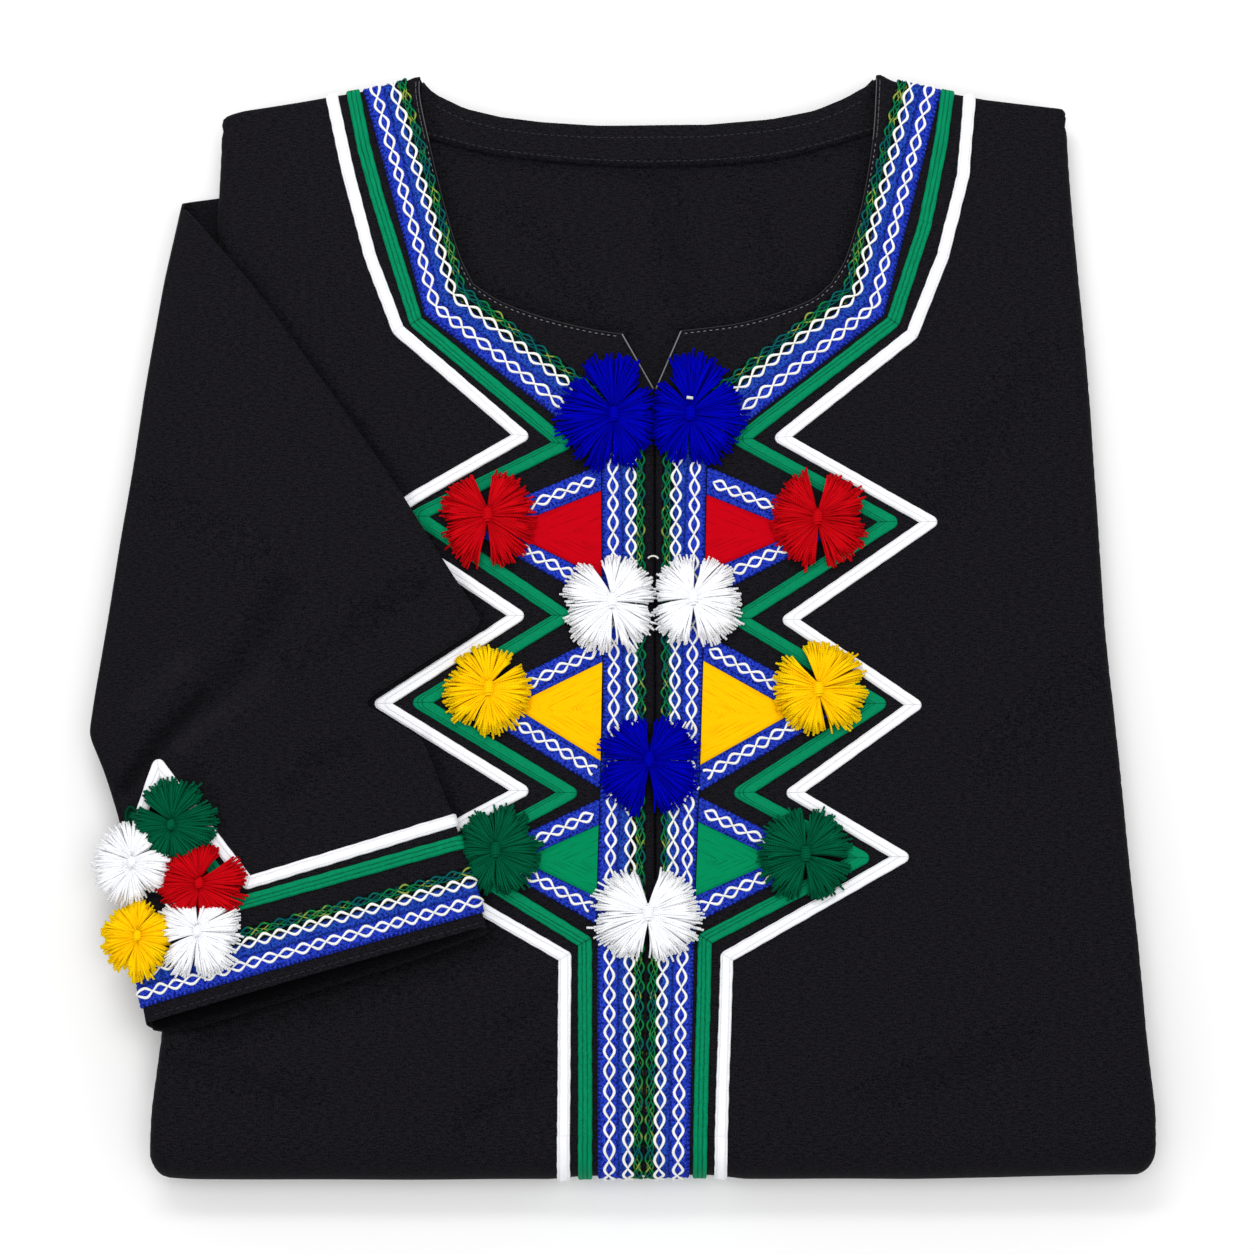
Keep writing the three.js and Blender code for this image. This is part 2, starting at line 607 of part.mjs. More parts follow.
// the patch fills the frame, drawn in towards its middle to leave a seam's gap on every edge
function patchOutline({ side, inner, apex }) {
  const corners = [[braidEdge(side, inner[0]), inner[0]], apex, [braidEdge(side, inner[1]), inner[1]]];
  const centre = [0, 1].map((i) => (corners[0][i] + corners[1][i] + corners[2][i]) / 3);
  const shrink = 0.05; // share of the way to the middle
  return corners.map(([x, y]) => [lerp(x, centre[0], shrink), lerp(y, centre[1], shrink)]);
}

// ---- sleeve, folded over the front ----
const sleeveLeftX = (y) => {
  const edge = SLEEVE_ROWS.map(({ left }) => ({ x: left[0], y: left[1] }));
  return lookUp(edge, 'y', 'x', y);
};

// how far the sleeve sinks where it hangs over the side of the body
function sleeveDroop(x, y) {
  const start = bodyLeft(y) + 4;
  const width = start - sleeveLeftX(y);
  const share = THREE.MathUtils.clamp((start - x) / width, 0, 0.92);
  return Math.min(SLEEVE.droop, 0.45 * width) * (1 - Math.sqrt(1 - share * share));
}

function creaseDepth(x, y) {
  let depth = 0;
  for (const crease of SLEEVE_CREASES) {
    const [from, to] = [new THREE.Vector2(...crease.from), new THREE.Vector2(...crease.to)];
    const along = to.clone().sub(from);
    const t = new THREE.Vector2(x, y).sub(from).dot(along) / along.lengthSq();
    const nearest = from.clone().add(along.multiplyScalar(THREE.MathUtils.clamp(t, 0, 1)));
    const away = nearest.distanceTo(new THREE.Vector2(x, y)) / crease.half;
    if (away < 1) depth = Math.max(depth, crease.depth * (0.5 + 0.5 * Math.cos(Math.PI * away)));
  }
  return depth;
}

const sleeveBase = (x, y) => frontTop(y) + SLEEVE.lift + SLEEVE.thick - sleeveDroop(x, y);
const onSleeve = (x, y, lift) => vec(x, y, sleeveBase(x, y) - creaseDepth(x, y) + lift);

// rows of the sleeve, with extra ones between the table's so that the creases show
function sleeveRows() {
  const rows = [];
  SLEEVE_ROWS.slice(0, -1).forEach((row, i) => {
    const next = SLEEVE_ROWS[i + 1];
    const parts = 2;
    for (let k = 0; k < parts; k += 1) {
      const mix = (side) => [0, 1].map((axis) => lerp(row[side][axis], next[side][axis], k / parts));
      rows.push({ left: mix('left'), right: mix('right') });
    }
  });
  return [...rows, SLEEVE_ROWS[SLEEVE_ROWS.length - 1]];
}

function sleeveSolid() {
  const rows = sleeveRows();
  const rings = rows.map(({ left, right }, r) => {
    const length = Math.hypot(right[0] - left[0], right[1] - left[1]);
    const edge = Math.min(SLEEVE.round / length, 0.3);
    const between = length > SLEEVE.wide ? SLEEVE_COLUMNS : evenColumns(edge);
    const columns = [edge, ...between, 1 - edge];
    const past = (f) => (r === rows.length - 1 ? lookUp(CUFF_LAP, 'share', 'lap', f) : 0);
    const at = (f) => [lerp(left[0], right[0], f), lerp(left[1], right[1], f)];
    const top = columns.map((f) => onSleeve(...at(f), 0));
    const under = columns.map((f) => {
      const [x, y] = at(f);
      return vec(x + past(f) * CUFF_SLOPE, y - past(f), sleeveBase(x, y) - SLEEVE.thick);
    });
    const rim = (f) => {
      const [x, y] = at(f);
      return vec(x, y - past(f) / 2, sleeveBase(x, y) - SLEEVE.thick / 2);
    };
    return [rim(0), ...top, rim(1), ...under.reverse()];
  });
  return cut(loft(rings, fromFront), mouthTool());
}

const evenColumns = (edge) =>
  SLEEVE_COLUMNS.map((_, k) => lerp(edge, 1 - edge, (k + 1) / (SLEEVE_COLUMNS.length + 1)));

// the space between the upper and the under side of the cuff
function mouthTool() {
  const { left, right } = SLEEVE_ROWS[SLEEVE_ROWS.length - 1];
  const along = new THREE.Vector2(-CUFF_SLOPE, 1).normalize(); // from the cuff up the sleeve
  const corner = ([x, y], inset, up) => [x + inset + along.x * up, y + inset * CUFF_SLOPE + along.y * up];
  const ring = (up, half) => {
    const [a, b] = [corner(left, MOUTH.inset, up), corner(right, -MOUTH.inset, up)];
    const z = (y) => frontTop(y) + SLEEVE.lift + SLEEVE.thick / 2;
    return [
      vec(...a, z(a[1]) - half), vec(...a, z(a[1]) + half),
      vec(...b, z(b[1]) + half), vec(...b, z(b[1]) - half),
    ];
  };
  return stripSolid([ring(-MOUTH.outside, MOUTH.height), ring(MOUTH.depth, MOUTH.height / 3)]);
}

// the part of the sleeve that comes from behind the body, up to the fold that lies over it
function sleeveTuck() {
  const heights = [182, 165, 140, 110, 80, 50, 20, -10, -30, -44];
  const steps = 10;
  const rings = heights.map((y) => {
    const centre = bodyLeft(y) - TUCK.aside;
    const reach = centre - sleeveLeftX(y) - TUCK.inset;
    const half = (frontTop(y) + SLEEVE.lift - TUCK.gap) / 2;
    const arc = (inset) =>
      Array.from({ length: steps + 1 }, (_, k) => {
        const angle = (Math.PI * k) / steps;
        const x = centre - (reach - inset) * Math.sin(angle);
        return vec(x, y, half + (half - inset) * Math.cos(angle));
      });
    return [...arc(0), ...arc(TUCK.wall).reverse()];
  });
  return loft(rings, fromFront);
}

// ---- cuff trim ----
// points put along a path so that a trim follows the rounded sleeve
function subdivided(path, step) {
  const points = [];
  path.slice(0, -1).forEach((from, i) => {
    const to = path[i + 1];
    const parts = Math.ceil(Math.hypot(to[0] - from[0], to[1] - from[1]) / step);
    for (let k = 0; k < parts; k += 1) {
      points.push([lerp(from[0], to[0], k / parts), lerp(from[1], to[1], k / parts)]);
    }
  });
  return [...points, path[path.length - 1]];
}

const CUFF_TRIM = { low: 0.5, high: 1.6 };
const cuffTape = (path, width) => strip(tapePairs(subdivided(path, 6), width), CUFF_TRIM, onSleeve);

function cuffBraid() {
  const { left, right, upper, lower } = CUFF_BRAID;
  const steps = 20;
  const pairs = Array.from({ length: steps + 1 }, (_, k) => {
    const f = (k / steps) ** 1.5; // closer together where the sleeve rounds off
    const x = lerp(left, right, f);
    return [[x, lerp(upper[0], upper[1], f)], [x, lerp(lower[0], lower[1], f)]];
  });
  return strip(pairs, CUFF_TRIM, onSleeve);
}

// ---- pompoms ----
// reach of a pompom in a direction, cut back at the middle between it and each neighbour
function reachAlong(pompom, others, angle) {
  const [c, s] = [Math.cos(angle), Math.sin(angle)];
  const [a, b] = [c > 0 ? pompom.right : pompom.left, s > 0 ? pompom.up : pompom.down];
  let reach = 1 / Math.hypot(c / a, s / b);
  for (const other of others) {
    const [dx, dy] = [other.x - pompom.x, other.y - pompom.y];
    const distance = Math.hypot(dx, dy);
    const off = Math.abs(Math.acos((dx * c + dy * s) / distance));
    const towards = Math.cos(Math.max(off - LOCK_TIP.spread, 0)); // of the tip's nearer corner
    if (towards > 0.1) reach = Math.min(reach, (distance / 2 - POMPOM.clearance) / towards);
  }
  return reach;
}

// locks of yarn that stand out from a small head; each has four sides and is fused to the head
function pompomSolid(pompom, others, surface) {
  const { lift, root, under, middle, top, half } = POMPOM;
  const points = [];
  const triangles = [];
  const at = (angle, radius, up, aside = 0) => {
    const x = pompom.x + radius * Math.cos(angle) - aside * Math.sin(angle);
    const y = pompom.y + radius * Math.sin(angle) + aside * Math.cos(angle);
    points.push(surface(x, y, lift + up));
    return points.length - 1;
  };
  const centre = { top: at(0, 0, top), under: at(0, 0, under) };
  const pitch = (2 * Math.PI) / STRANDS;
  const valleys = Array.from({ length: STRANDS }, (_, i) => at((i + 0.5) * pitch, root, middle));
  for (let i = 0; i < STRANDS; i += 1) {
    const angle = i * pitch;
    const reach = reachAlong(pompom, others, angle);
    const tipUp = i % 2 ? LOCK_TIP.high : LOCK_TIP.low;
    const aside = reach * LOCK_TIP.spread;
    const [before, after] = [valleys[(i + STRANDS - 1) % STRANDS], valleys[i]];
    const base = [at(angle, root, middle + 2 * half), after, at(angle, root, middle - 2 * half), before];
    const end = [
      at(angle, reach, tipUp + LOCK_TIP.half),
      at(angle, reach, tipUp, aside),
      at(angle, reach, tipUp - LOCK_TIP.half),
      at(angle, reach, tipUp, -aside),
    ];
    for (let k = 0; k < 4; k += 1) {
      const next = (k + 1) % 4;
      triangles.push([base[k], end[next], base[next]], [base[k], end[k], end[next]]);
    }
    triangles.push([end[0], end[2], end[1]], [end[0], end[3], end[2]]);
    triangles.push([centre.top, base[0], after], [centre.top, before, base[0]]);
    triangles.push([centre.under, after, base[2]], [centre.under, base[2], before]);
  }
  return closed(points, triangles);
}

// ---- the garment ----
const dress = new THREE.Group();

function add(name, colour, geometry) {
  const material = new THREE.MeshStandardMaterial({ color: COLOURS[colour], roughness: 0.9, metalness: 0 });
  const mesh = new THREE.Mesh(geometry, material);
  mesh.name = name;
  dress.add(mesh);
}

add('folded_layers', 'cloth', foldedLayers());
add('back_panel', 'cloth', backPanel());
add('back_neck_facing', 'cloth', backNeckFacing());
add('front_panel', 'cloth', frontPanel());
add('sleeve_left', 'cloth', sleeveSolid());
add('sleeve_left_tuck', 'cloth', sleeveTuck());
for (const side of ['left', 'right']) {
  add(`white_tape_${side}`, 'white', zigzagTape(`white_tape_${side}`, WHITE_TAPE_WIDTH));
  add(`green_tape_${side}`, 'green_tape', zigzagTape(`green_tape_${side}`, GREEN_TAPE_WIDTH));
  const edges = side === 'left' ? BRAID_LEFT : BRAID_RIGHT;
  add(`blue_braid_${side}`, 'braid', neckBraid(edges, BRAID_SHOULDER[side]));
}
for (const frame of FRAMES) {
  const satin = frame.name.startsWith('green') ? 'green_satin' : frame.name.split('_')[0];
  add(`frame_${frame.name}`, 'braid', plate(frameOutline(frame), TRIM.low, TRIM.high));
  add(`patch_${frame.name}`, satin, plate(patchOutline(frame), PATCH.low, PATCH.high));
}
add('cuff_white_tape', 'white', cuffTape(CUFF_WHITE, WHITE_TAPE_WIDTH));
add('cuff_green_tape', 'green_tape', cuffTape(CUFF_GREEN, GREEN_TAPE_WIDTH));
add('cuff_blue_braid', 'braid', cuffBraid());
for (const [group, surface] of [[FRONT_POMPOMS, onFront], [CUFF_POMPOMS, onSleeve]]) {
  for (const pompom of group) {
    const others = group.filter((other) => other !== pompom);
    add(`pompom_${pompom.name}`, pompom.colour, pompomSolid(pompom, others, surface));
  }
}

export default dress;
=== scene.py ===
"""Looks of a folded kaftan dress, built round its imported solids. Metres, +Z up.

Pieces are drawn in millimetres on the unrolled front: x across, y up the dress. Below FOLD_Y
the front runs round the bottom fold. A surface function turns places (x, y) and a lift above
the cloth into points in space, so that whatever lies on the cloth follows its creases.
"""
import math

import bpy
import numpy as np
from mathutils.geometry import delaunay_2d_cdt
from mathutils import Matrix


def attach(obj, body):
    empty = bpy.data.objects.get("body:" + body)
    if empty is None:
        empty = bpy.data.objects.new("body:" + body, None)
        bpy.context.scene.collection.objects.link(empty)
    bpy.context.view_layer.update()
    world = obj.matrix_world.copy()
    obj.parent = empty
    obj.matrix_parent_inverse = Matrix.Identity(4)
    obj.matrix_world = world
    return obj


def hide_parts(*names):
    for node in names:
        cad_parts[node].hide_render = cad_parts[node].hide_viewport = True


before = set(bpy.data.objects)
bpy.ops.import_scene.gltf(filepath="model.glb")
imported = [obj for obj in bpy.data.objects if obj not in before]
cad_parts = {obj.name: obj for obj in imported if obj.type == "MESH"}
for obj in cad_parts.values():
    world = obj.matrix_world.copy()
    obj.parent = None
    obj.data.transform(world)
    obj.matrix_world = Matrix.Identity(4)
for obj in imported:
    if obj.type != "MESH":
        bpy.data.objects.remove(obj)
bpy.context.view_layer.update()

MM = 0.001


def add_object(name, data):
    thing = bpy.data.objects.new(name, data)
    bpy.context.scene.collection.objects.link(thing)
    return thing


# ---- the camera ----
CAMERA_PLACE = (-0.011, -0.3195, 1.8371)
CAMERA_TILT = math.radians(10)
CAMERA_LENS = 120.05  # on a 36 mm wide sensor


def add_camera():
    data = bpy.data.cameras.new("camera")
    data.lens = CAMERA_LENS
    data.sensor_width = 36
    camera = add_object("camera", data)
    camera.location = CAMERA_PLACE
    camera.rotation_euler = (CAMERA_TILT, 0, 0)
    bpy.context.scene.camera = camera


add_camera()

# ---- sizes of the folded stack, in millimetres ----
FOLD_Y = -223.5  # the front turns down into the bottom fold here
SHOULDER_Y = 240
FOLD_RADIUS = 15
TOP_AT_FOLD = 30  # height of the front above the floor
TOP_AT_SHOULDER = 20
CURL = 6  # radius of the front's rolled side edges
CORNER_CURL = 2.2  # and at the shoulder's corners
CURL_TURN = math.radians(125)
ROLL = 3  # radius of the cloth's edge over the shoulders
NECK_ROLL = 1.4  # and at the back of the neck
BOTTOM_FLAP = 8
BACK_DEPTH = 3.8  # top of the back panel below the front
FACING_LIFT = 1.5  # top of the back neck facing above the back panel
CORE_DEPTH = 6.1  # top of the hidden layers below the front
CLOTH = 1.1  # wall of a cloth shell
FACING_WALL = 1.0
SLEEVE_WALL = 0.9
WHITE_TAPE = 5.6
GREEN_TAPE = 6.1
BRAID_WIDTH = 19.2
BAR_WIDTH = 9.5
BRAID_HEIGHT = 1.3
SLIT_X = 1.3
SLIT_WIDTH = 1.2
SLIT_END = -112
SLEEVE_LIFT = 1.8
SLEEVE_THICK = 4.6
SLEEVE_DROOP = 13
SLEEVE_ROUND = 2.3  # radius of its edges
CUFF_OPEN = 4.2  # how far the upper side of the cuff stands open
CUFF_SLOPE = 0.28

SIDES = [  # height on the unrolled front, left edge, right edge
    (-290, -213.0, 212.6), (-247, -214.8, 214.6), (-235, -216.8, 216.8), (-212, -216.2, 217.2),
    (-180, -212.6, 214.2), (-140, -210.6, 211.4), (-100, -208.4, 208.0), (-50, -206.2, 204.0),
    (0, -204.0, 200.2), (100, -199.3, 195.6), (200, -194.7, 189.0), (236, -193.5, 187.0),
]
SHOULDERS = [
    (-194, 234.6), (-189, 236.4), (-184, 237.9), (-159, 241.9), (-132, 246.7), (-118, 249.5),
    (-111, 252.2), (-106, 254.4), (-103.5, 254.4), (101, 255.2), (103.8, 255.2), (109, 252.2), (130, 247.2),
    (151, 243), (165, 241.2), (188, 238.6),
]
BACK_NECK = [
    (-104.6, 254.6), (-102, 249.6), (-96, 244.8), (-84, 238.8), (-68, 234.6), (-50, 232.2),
    (-25, 230.8), (25, 231), (54, 234), (74, 238), (88, 243.8), (98, 249.8), (101.8, 255),
]
# how far the bottom fold sags below its straight line
FOLD_SAG = [
    (-214, 1.4), (-200, 2.3), (-44, 2.2), (-30, 0.8), (26, 0.4), (40, 2), (110, 2.2), (150, 1.5), (195, 0),
]
FACING_EDGE = [
    (-108, 228.5), (-96, 224), (-64, 216.6), (-5, 212), (54, 215.3), (99, 227.4), (106, 230),
]
# the neckline: down each side to its corner, then along to the V
NECK_SIDES = [
    [(-104.6, 254.6), (-104.6, 243.8), (-100.2, 222.6), (-93.2, 193.6), (-86.3, 170.3), (-79.9, 156.4)],
    [(101.8, 255), (101.5, 246), (99.8, 223.6), (95, 195.5), (87.5, 169.4), (80.2, 156.4)],
]
NECK_BOTTOMS = [
    [(-79.9, 156.4), (-69.1, 149), (-56.1, 143.4), (-41.4, 138.8), (-25.7, 135.1), (-13.2, 133.2)],
    [(80.2, 156.4), (69.4, 148), (42.6, 138.8), (13.1, 134.6)],
]
V_Y = 108  # foot of the V, where the slit starts
# matched places on the outer and the inner edge of each blue braid, from the shoulder down
BRAID_LEFT = [
    ((-129.9, 246.5), (-110.4, 250.8)), ((-101.3, 142), (-83, 155.5)), ((-42.3, 95), (-30.1, 113)),
    ((-22.4, 78), (-3.1, 96)), ((-22.2, 60), (-3.1, 60)), ((-21.5, -32), (-3, -32)),
    ((-24, -120), (-3, -112)), ((-23.9, -150), (-3.5, -150)), ((-23.6, FOLD_Y), (-4.4, FOLD_Y)),
]
BRAID_RIGHT = [
    ((130.6, 245.8), (111, 250.6)), ((103.8, 142), (85.5, 155.5)), ((45.3, 95), (33.1, 113)),
    ((24.6, 78), (5.5, 96)), ((24, 60), (4.3, 60)), ((21.9, -32), (4.3, -32)),
    ((18.5, -120), (4.2, -112)), ((17.9, -150), (-1.9, -150)), ((16, FOLD_Y), (-3.4, FOLD_Y)),
]
TAPES = {  # centre lines, from the shoulder to the bottom fold
    "white_tape_left": [
        (-143.9, 242.5), (-136.5, 208.6), (-126.1, 169.4), (-113.2, 135.1), (-57.6, 86.4),
        (-122.4, 48.2), (-59, 4.9), (-118.8, -34.4), (-56.8, -73), (-112, -102.5),
        (-37.9, -145.7), (-38.3, FOLD_Y),
    ],
    "white_tape_right": [
        (143.5, 242.6), (140.1, 206.7), (130.5, 169.4), (116.2, 133.2), (57.4, 85.5),
        (123.4, 47.3), (60.3, 3.1), (115.2, -34.9), (61.5, -73.9), (108.7, -102.1),
        (32.3, -145.7), (29.4, FOLD_Y),
    ],
    "green_tape_left": [
        (-134.4, 244.8), (-129.4, 220), (-122.8, 195.5), (-105.2, 138.8), (-39, 82.8),
        (-104.3, 50), (-38.7, 4.9), (-101.7, -34), (-35.9, -73.9), (-88, -102.5),
        (-29.2, -139.2), (-29, FOLD_Y),
    ],
    "green_tape_right": [
        (133.6, 245), (130.3, 222), (122.7, 184.3), (107.8, 138.8), (39.2, 84.6),
        (105.7, 47.3), (37.9, 3.6), (99.5, -34.4), (38.8, -73.9), (91.3, -102.5),
        (22.8, -137.9), (20.4, FOLD_Y),
    ],
}
# pointed frames: side, heights at the braid outside and inside, the point, the patch's apex
FRAMES = {
    "red_left": (-1, (73.5, 10), (61.4, 22), (-79, 46), (-66.3, 44.1)),
    "red_right": (1, (72.5, 12), (59.6, 24.7), (80, 45), (65.5, 42.8)),
    "yellow_left": (-1, (-3.5, -72), (-15.7, -59.7), (-77, -35), (-61.4, -35.3)),
    "yellow_right": (1, (-3, -73.5), (-15.2, -61.5), (78, -36.5), (62.6, -38)),
    "green_left": (-1, (-76.5, -131.5), (-88, -119.6), (-70, -102), (-57.6, -103.4)),
    "green_right": (1, (-75.5, -131), (-86.7, -119.1), (68, -103), (54.7, -103.4)),
}
FRAME_TIP = 3.5
# pompoms: colour, centre, reach to the left, right, up and down, and the gaps between the
# lobes as (direction, half width) in degrees
FRONT_POMPOMS = {
    "blue_left": ("blue", -16.8, 94.7, 24.5, 18, 28.5, 25, [(128, 4), (50, 4), (268, 3)]),
    "blue_right": ("blue", 17, 95.1, 17, 24.5, 28, 23.5, [(120, 5), (46, 4), (266, 3)]),
    "red_left": ("red", -72.5, 49.1, 20.5, 20, 20.5, 23.5, [(97, 14), (268, 10), (190, 2)]),
    "red_right": ("red", 73, 47.8, 20, 22, 22, 22, [(88, 14), (274, 8), (5, 2)]),
    "white_left": ("white", -17.6, 10.3, 22, 19, 21.5, 23.5, [(112, 8), (275, 6), (182, 3), (356, 4)]),
    "white_right": ("white", 18.1, 11.7, 18, 22, 20, 22, [(82, 8), (270, 8), (186, 4), (20, 2)]),
    "yellow_left": ("yellow", -71.5, -28.6, 19.6, 17.5, 18.5, 20, [(45, 6), (246, 4), (150, 2)]),
    "yellow_right": ("yellow", 72.8, -29.1, 19, 21.5, 21.5, 19.5, [(118, 11), (285, 7), (10, 2)]),
    "blue_centre": ("blue", -1.4, -60.2, 22.4, 22.5, 20, 24.5, [(89, 9), (270, 10), (180, 2), (0, 2)]),
    "green_left": ("green", -68, -99.9, 16.5, 19, 20, 20, [(100, 3), (268, 4), (30, 2), (200, 2)]),
    "green_right": ("green", 66.5, -101.6, 19.5, 20, 20.5, 20.5, [(88, 6), (270, 8), (355, 3)]),
    "white_centre": ("white", -1.9, -127.4, 25.5, 23, 19, 20, [(90, 16), (268, 7), (182, 2)]),
}
CUFF_POMPOMS = {
    "cuff_green": ("green", -208.3, -89.6, 18, 19.5, 20.5, 15.5, [(40, 3), (145, 4), (270, 2), (200, 2)]),
    "cuff_white_upper": ("white", -225.7, -105.4, 17.6, 17.5, 19, 18, [(32, 5), (300, 2)]),
    "cuff_red": ("red", -195.6, -115.2, 18, 19, 17.5, 17, [(50, 12), (264, 4), (160, 2)]),
    "cuff_yellow": ("yellow", -222.3, -137.6, 15.5, 14.5, 15.5, 19, [(56, 4), (250, 2)]),
    "cuff_white_lower": ("white", -196, -135.9, 20, 19, 17, 20.5, [(88, 7), (203, 5), (265, 3), (340, 2)]),
}
# matched places on the two long edges of the folded sleeve, from its tip to the cuff
SLEEVE_ROWS = [
    ((-211.5, 190.8), (-208.8, 190.8)), ((-219.4, 156.6), (-176.4, 152.9)),
    ((-226.4, 110.6), (-138.2, 99.7)), ((-231, 74.2), (-111.2, 60.6)),
    ((-236.3, 38), (-92.8, 30.8)), ((-240, 10), (-73.5, 0.6)), ((-248, -45.6), (-127, -34.4)),
    ((-240, -64), (-100, -51)), ((-232.5, -86.1), (-87.1, -83.1)),
    ((-227, -122), (-79, -108.5)), ((-222, -158.4), (-74.5, -124)), ((-218.5, -174.8), (-72, -132.8)),
]
CUFF_TAPES = {
    "cuff_white_tape": [(-228, -101), (-215.3, -62.4), (-175.2, -114.1), (-84.9, -86.4)],
    "cuff_green_tape": [(-211, -79), (-179.4, -123.3), (-80.3, -95.6)],
}
# matched places on the hem edge and the other edge of the cuff's braid
CUFF_BRAID = [((-221, -168.4), (-224.6, -147)), ((-71, -126.4), (-77.6, -106.6))]
# how far the under side of the cuff shows past the upper side, by share of the cuff's width
CUFF_LAP = [(0, 3.2), (0.03, 6), (0.1, 7.4), (0.27, 7), (0.53, 6.2), (0.8, 5.2), (0.95, 3.6), (1, 1)]
CUFF_SHADE = [(0, 4.6), (0.3, 4.6), (0.6, 4), (0.95, 3.4), (1, 2)]  # depth of shade in the cuff's mouth
# creases: half width, depth (negative for a ridge) and path; the depth also paints shade in a trough and a
# highlight on a ridge
SLEEVE_CREASES = [
    (7, 2.6, [(-230, -71), (-216, -52), (-198, -32)]),
    (11, 1.4, [(-198, -32), (-183, -19), (-172, 0), (-164, 16)]),
    (13, 1.0, [(-159, -17), (-141, -6), (-123, 5), (-104, 17)]),
    (9, 0.8, [(-159, -72), (-145, -60), (-132, -54)]),
    (11, 0.8, [(-199, -67), (-192, -98)]),
    (9, -0.8, [(-224, -34), (-204, -17)]),
    (8, -1.0, [(-206, -54), (-182, -36)]),
    (12, -0.6, [(-176, -29), (-141, -2)]),
    (15, 0.4, [(-226, 60), (-170, 30)]),
]
# the last three paint the sleeve's shadow on the front, as shade in troughs along its edges and below its
# cuff
FRONT_CREASES = [  # the last three lie along the sleeve
    (9, 0.9, [(-83, -217), (-45, -192)]), (8, 0.7, [(-67, -178), (-45, -163)]),
    (14, 0.6, [(95, -205), (160, -180)]), (12, 0.7, [(-205, -190), (-150, -205)]),
    (22, 0.5, [(130, 60), (170, 120)]), (18, 0.45, [(150, -60), (190, -20)]),
    (5, 1.6, [row[1] for row in SLEEVE_ROWS[:6]]), (5, 1.4, [row[1] for row in SLEEVE_ROWS[7:]]),
    (19, 2.1, [(-192, -173), (-140, -158), (-72, -134)]),
]
# the last three paint shadow below the facing's edge and under the front's neck edge, as shade in their
# troughs
BACK_CREASES = [  # the last three lie along the facing and the front's neck edge
    (14, 0.6, [(5, 205), (14, 150)]), (12, 0.5, [(45, 195), (60, 150)]),
    (16, 0.4, [(-60, 190), (-30, 150)]), (5, 0.9, [(x, y - 2.5) for x, y in FACING_EDGE]),
    (10, 1.2, NECK_SIDES[0][1:] + NECK_BOTTOMS[0][1:]),
    (8, 1.1, NECK_SIDES[1][1:] + NECK_BOTTOMS[1][1:]),
]


# ---- surfaces ----
def arrays(*values):
    """Numbers or arrays as arrays of one shape."""
    return np.broadcast_arrays(*(np.asarray(v, float) for v in values))


def unit(vectors):
    return vectors / np.linalg.norm(vectors, axis=-1, keepdims=True)


def soften(line, rounds):
    """Round off a line of places where it stands, with its ends kept."""
    for _ in range(rounds):
        line[1:-1] = (line[:-2] + 2 * line[1:-1] + line[2:]) / 4


def column(table, by, to, at):
    """Column `to` of a table, looked up at values of its rising column `by`."""
    rows = np.array(table, float)
    return np.interp(at, rows[:, by], rows[:, to])


def front_top(y):
    share = (y - FOLD_Y) / (SHOULDER_Y - FOLD_Y)
    return TOP_AT_FOLD + (TOP_AT_SHOULDER - TOP_AT_FOLD) * share


def body_left(y):
    return column(SIDES, 0, 1, y)


def body_right(y):
    return column(SIDES, 0, 2, y)


def ripple(x, y, length, seed):
    """Slow unevenness from -1 to 1, about `length` millimetres from crest to crest."""
    total = 0
    for turn, stretch, phase in ((0.3, 1.0, 0.7), (1.4, 1.31, 2.9), (2.5, 0.77, 5.1)):
        along = x * math.cos(turn + seed) + y * math.sin(turn + seed)
        total = total + np.sin(2 * math.pi * along / (length * stretch) + phase * (seed + 1))
    return total / 3


def troughs(x, y, creases):
    """Depth of the soft troughs along the creases, below 0 on their ridges."""
    shape = np.broadcast(x, y).shape
    hollow, ridge = np.zeros(shape), np.zeros(shape)
    for half, deep, path in creases:
        away = np.full(shape, np.inf)
        for (x0, y0), (x1, y1) in zip(path, path[1:]):
            across, up = x1 - x0, y1 - y0
            share = np.clip(((x - x0) * across + (y - y0) * up) / (across**2 + up**2), 0, 1)
            away = np.minimum(away, np.hypot(x - x0 - share * across, y - y0 - share * up))
        bell = 0.5 + 0.5 * np.cos(math.pi * np.minimum(away / half, 1))
        hollow = np.maximum(hollow, deep * bell)
        ridge = np.maximum(ridge, -deep * bell)
    return hollow - ridge


def roll_over(y, top, radius, lift):
    """Cloth that rolls over a straight edge at `top` and hangs: its y, and its height above the flat."""
    start = top - radius
    turn = np.clip((y - start) / radius, 0, math.pi / 2)
    fall = np.maximum(y - start - radius * math.pi / 2, 0)
    rolled = y > start
    outer = np.maximum(radius + lift, 0.3)
    across = np.where(rolled, start + outer * np.sin(turn), y)
    up = np.where(rolled, outer * np.cos(turn) - radius - fall, lift)
    return across, up


def roll_under(x, lift, low, high, radius, most):
    """Cloth that turns down past x = low and x = high: its x, and its height above the flat."""
    side = np.where(x > high, 1, np.where(x < low, -1, 0))
    start = np.where(side > 0, high, low)
    turn = np.clip(np.abs(x - start) / radius, 0, most)
    across = np.where(side == 0, x, start + side * (radius + lift) * np.sin(turn))
    up = np.where(side == 0, lift, (radius + lift) * np.cos(turn) - radius)
    return across, up


def side_curl(y):
    """Radius of the front's rolled side edges, which are tighter at the shoulder."""
    return np.interp(y, (SHOULDER_Y - 26, SHOULDER_Y - 6), (CURL, CORNER_CURL))


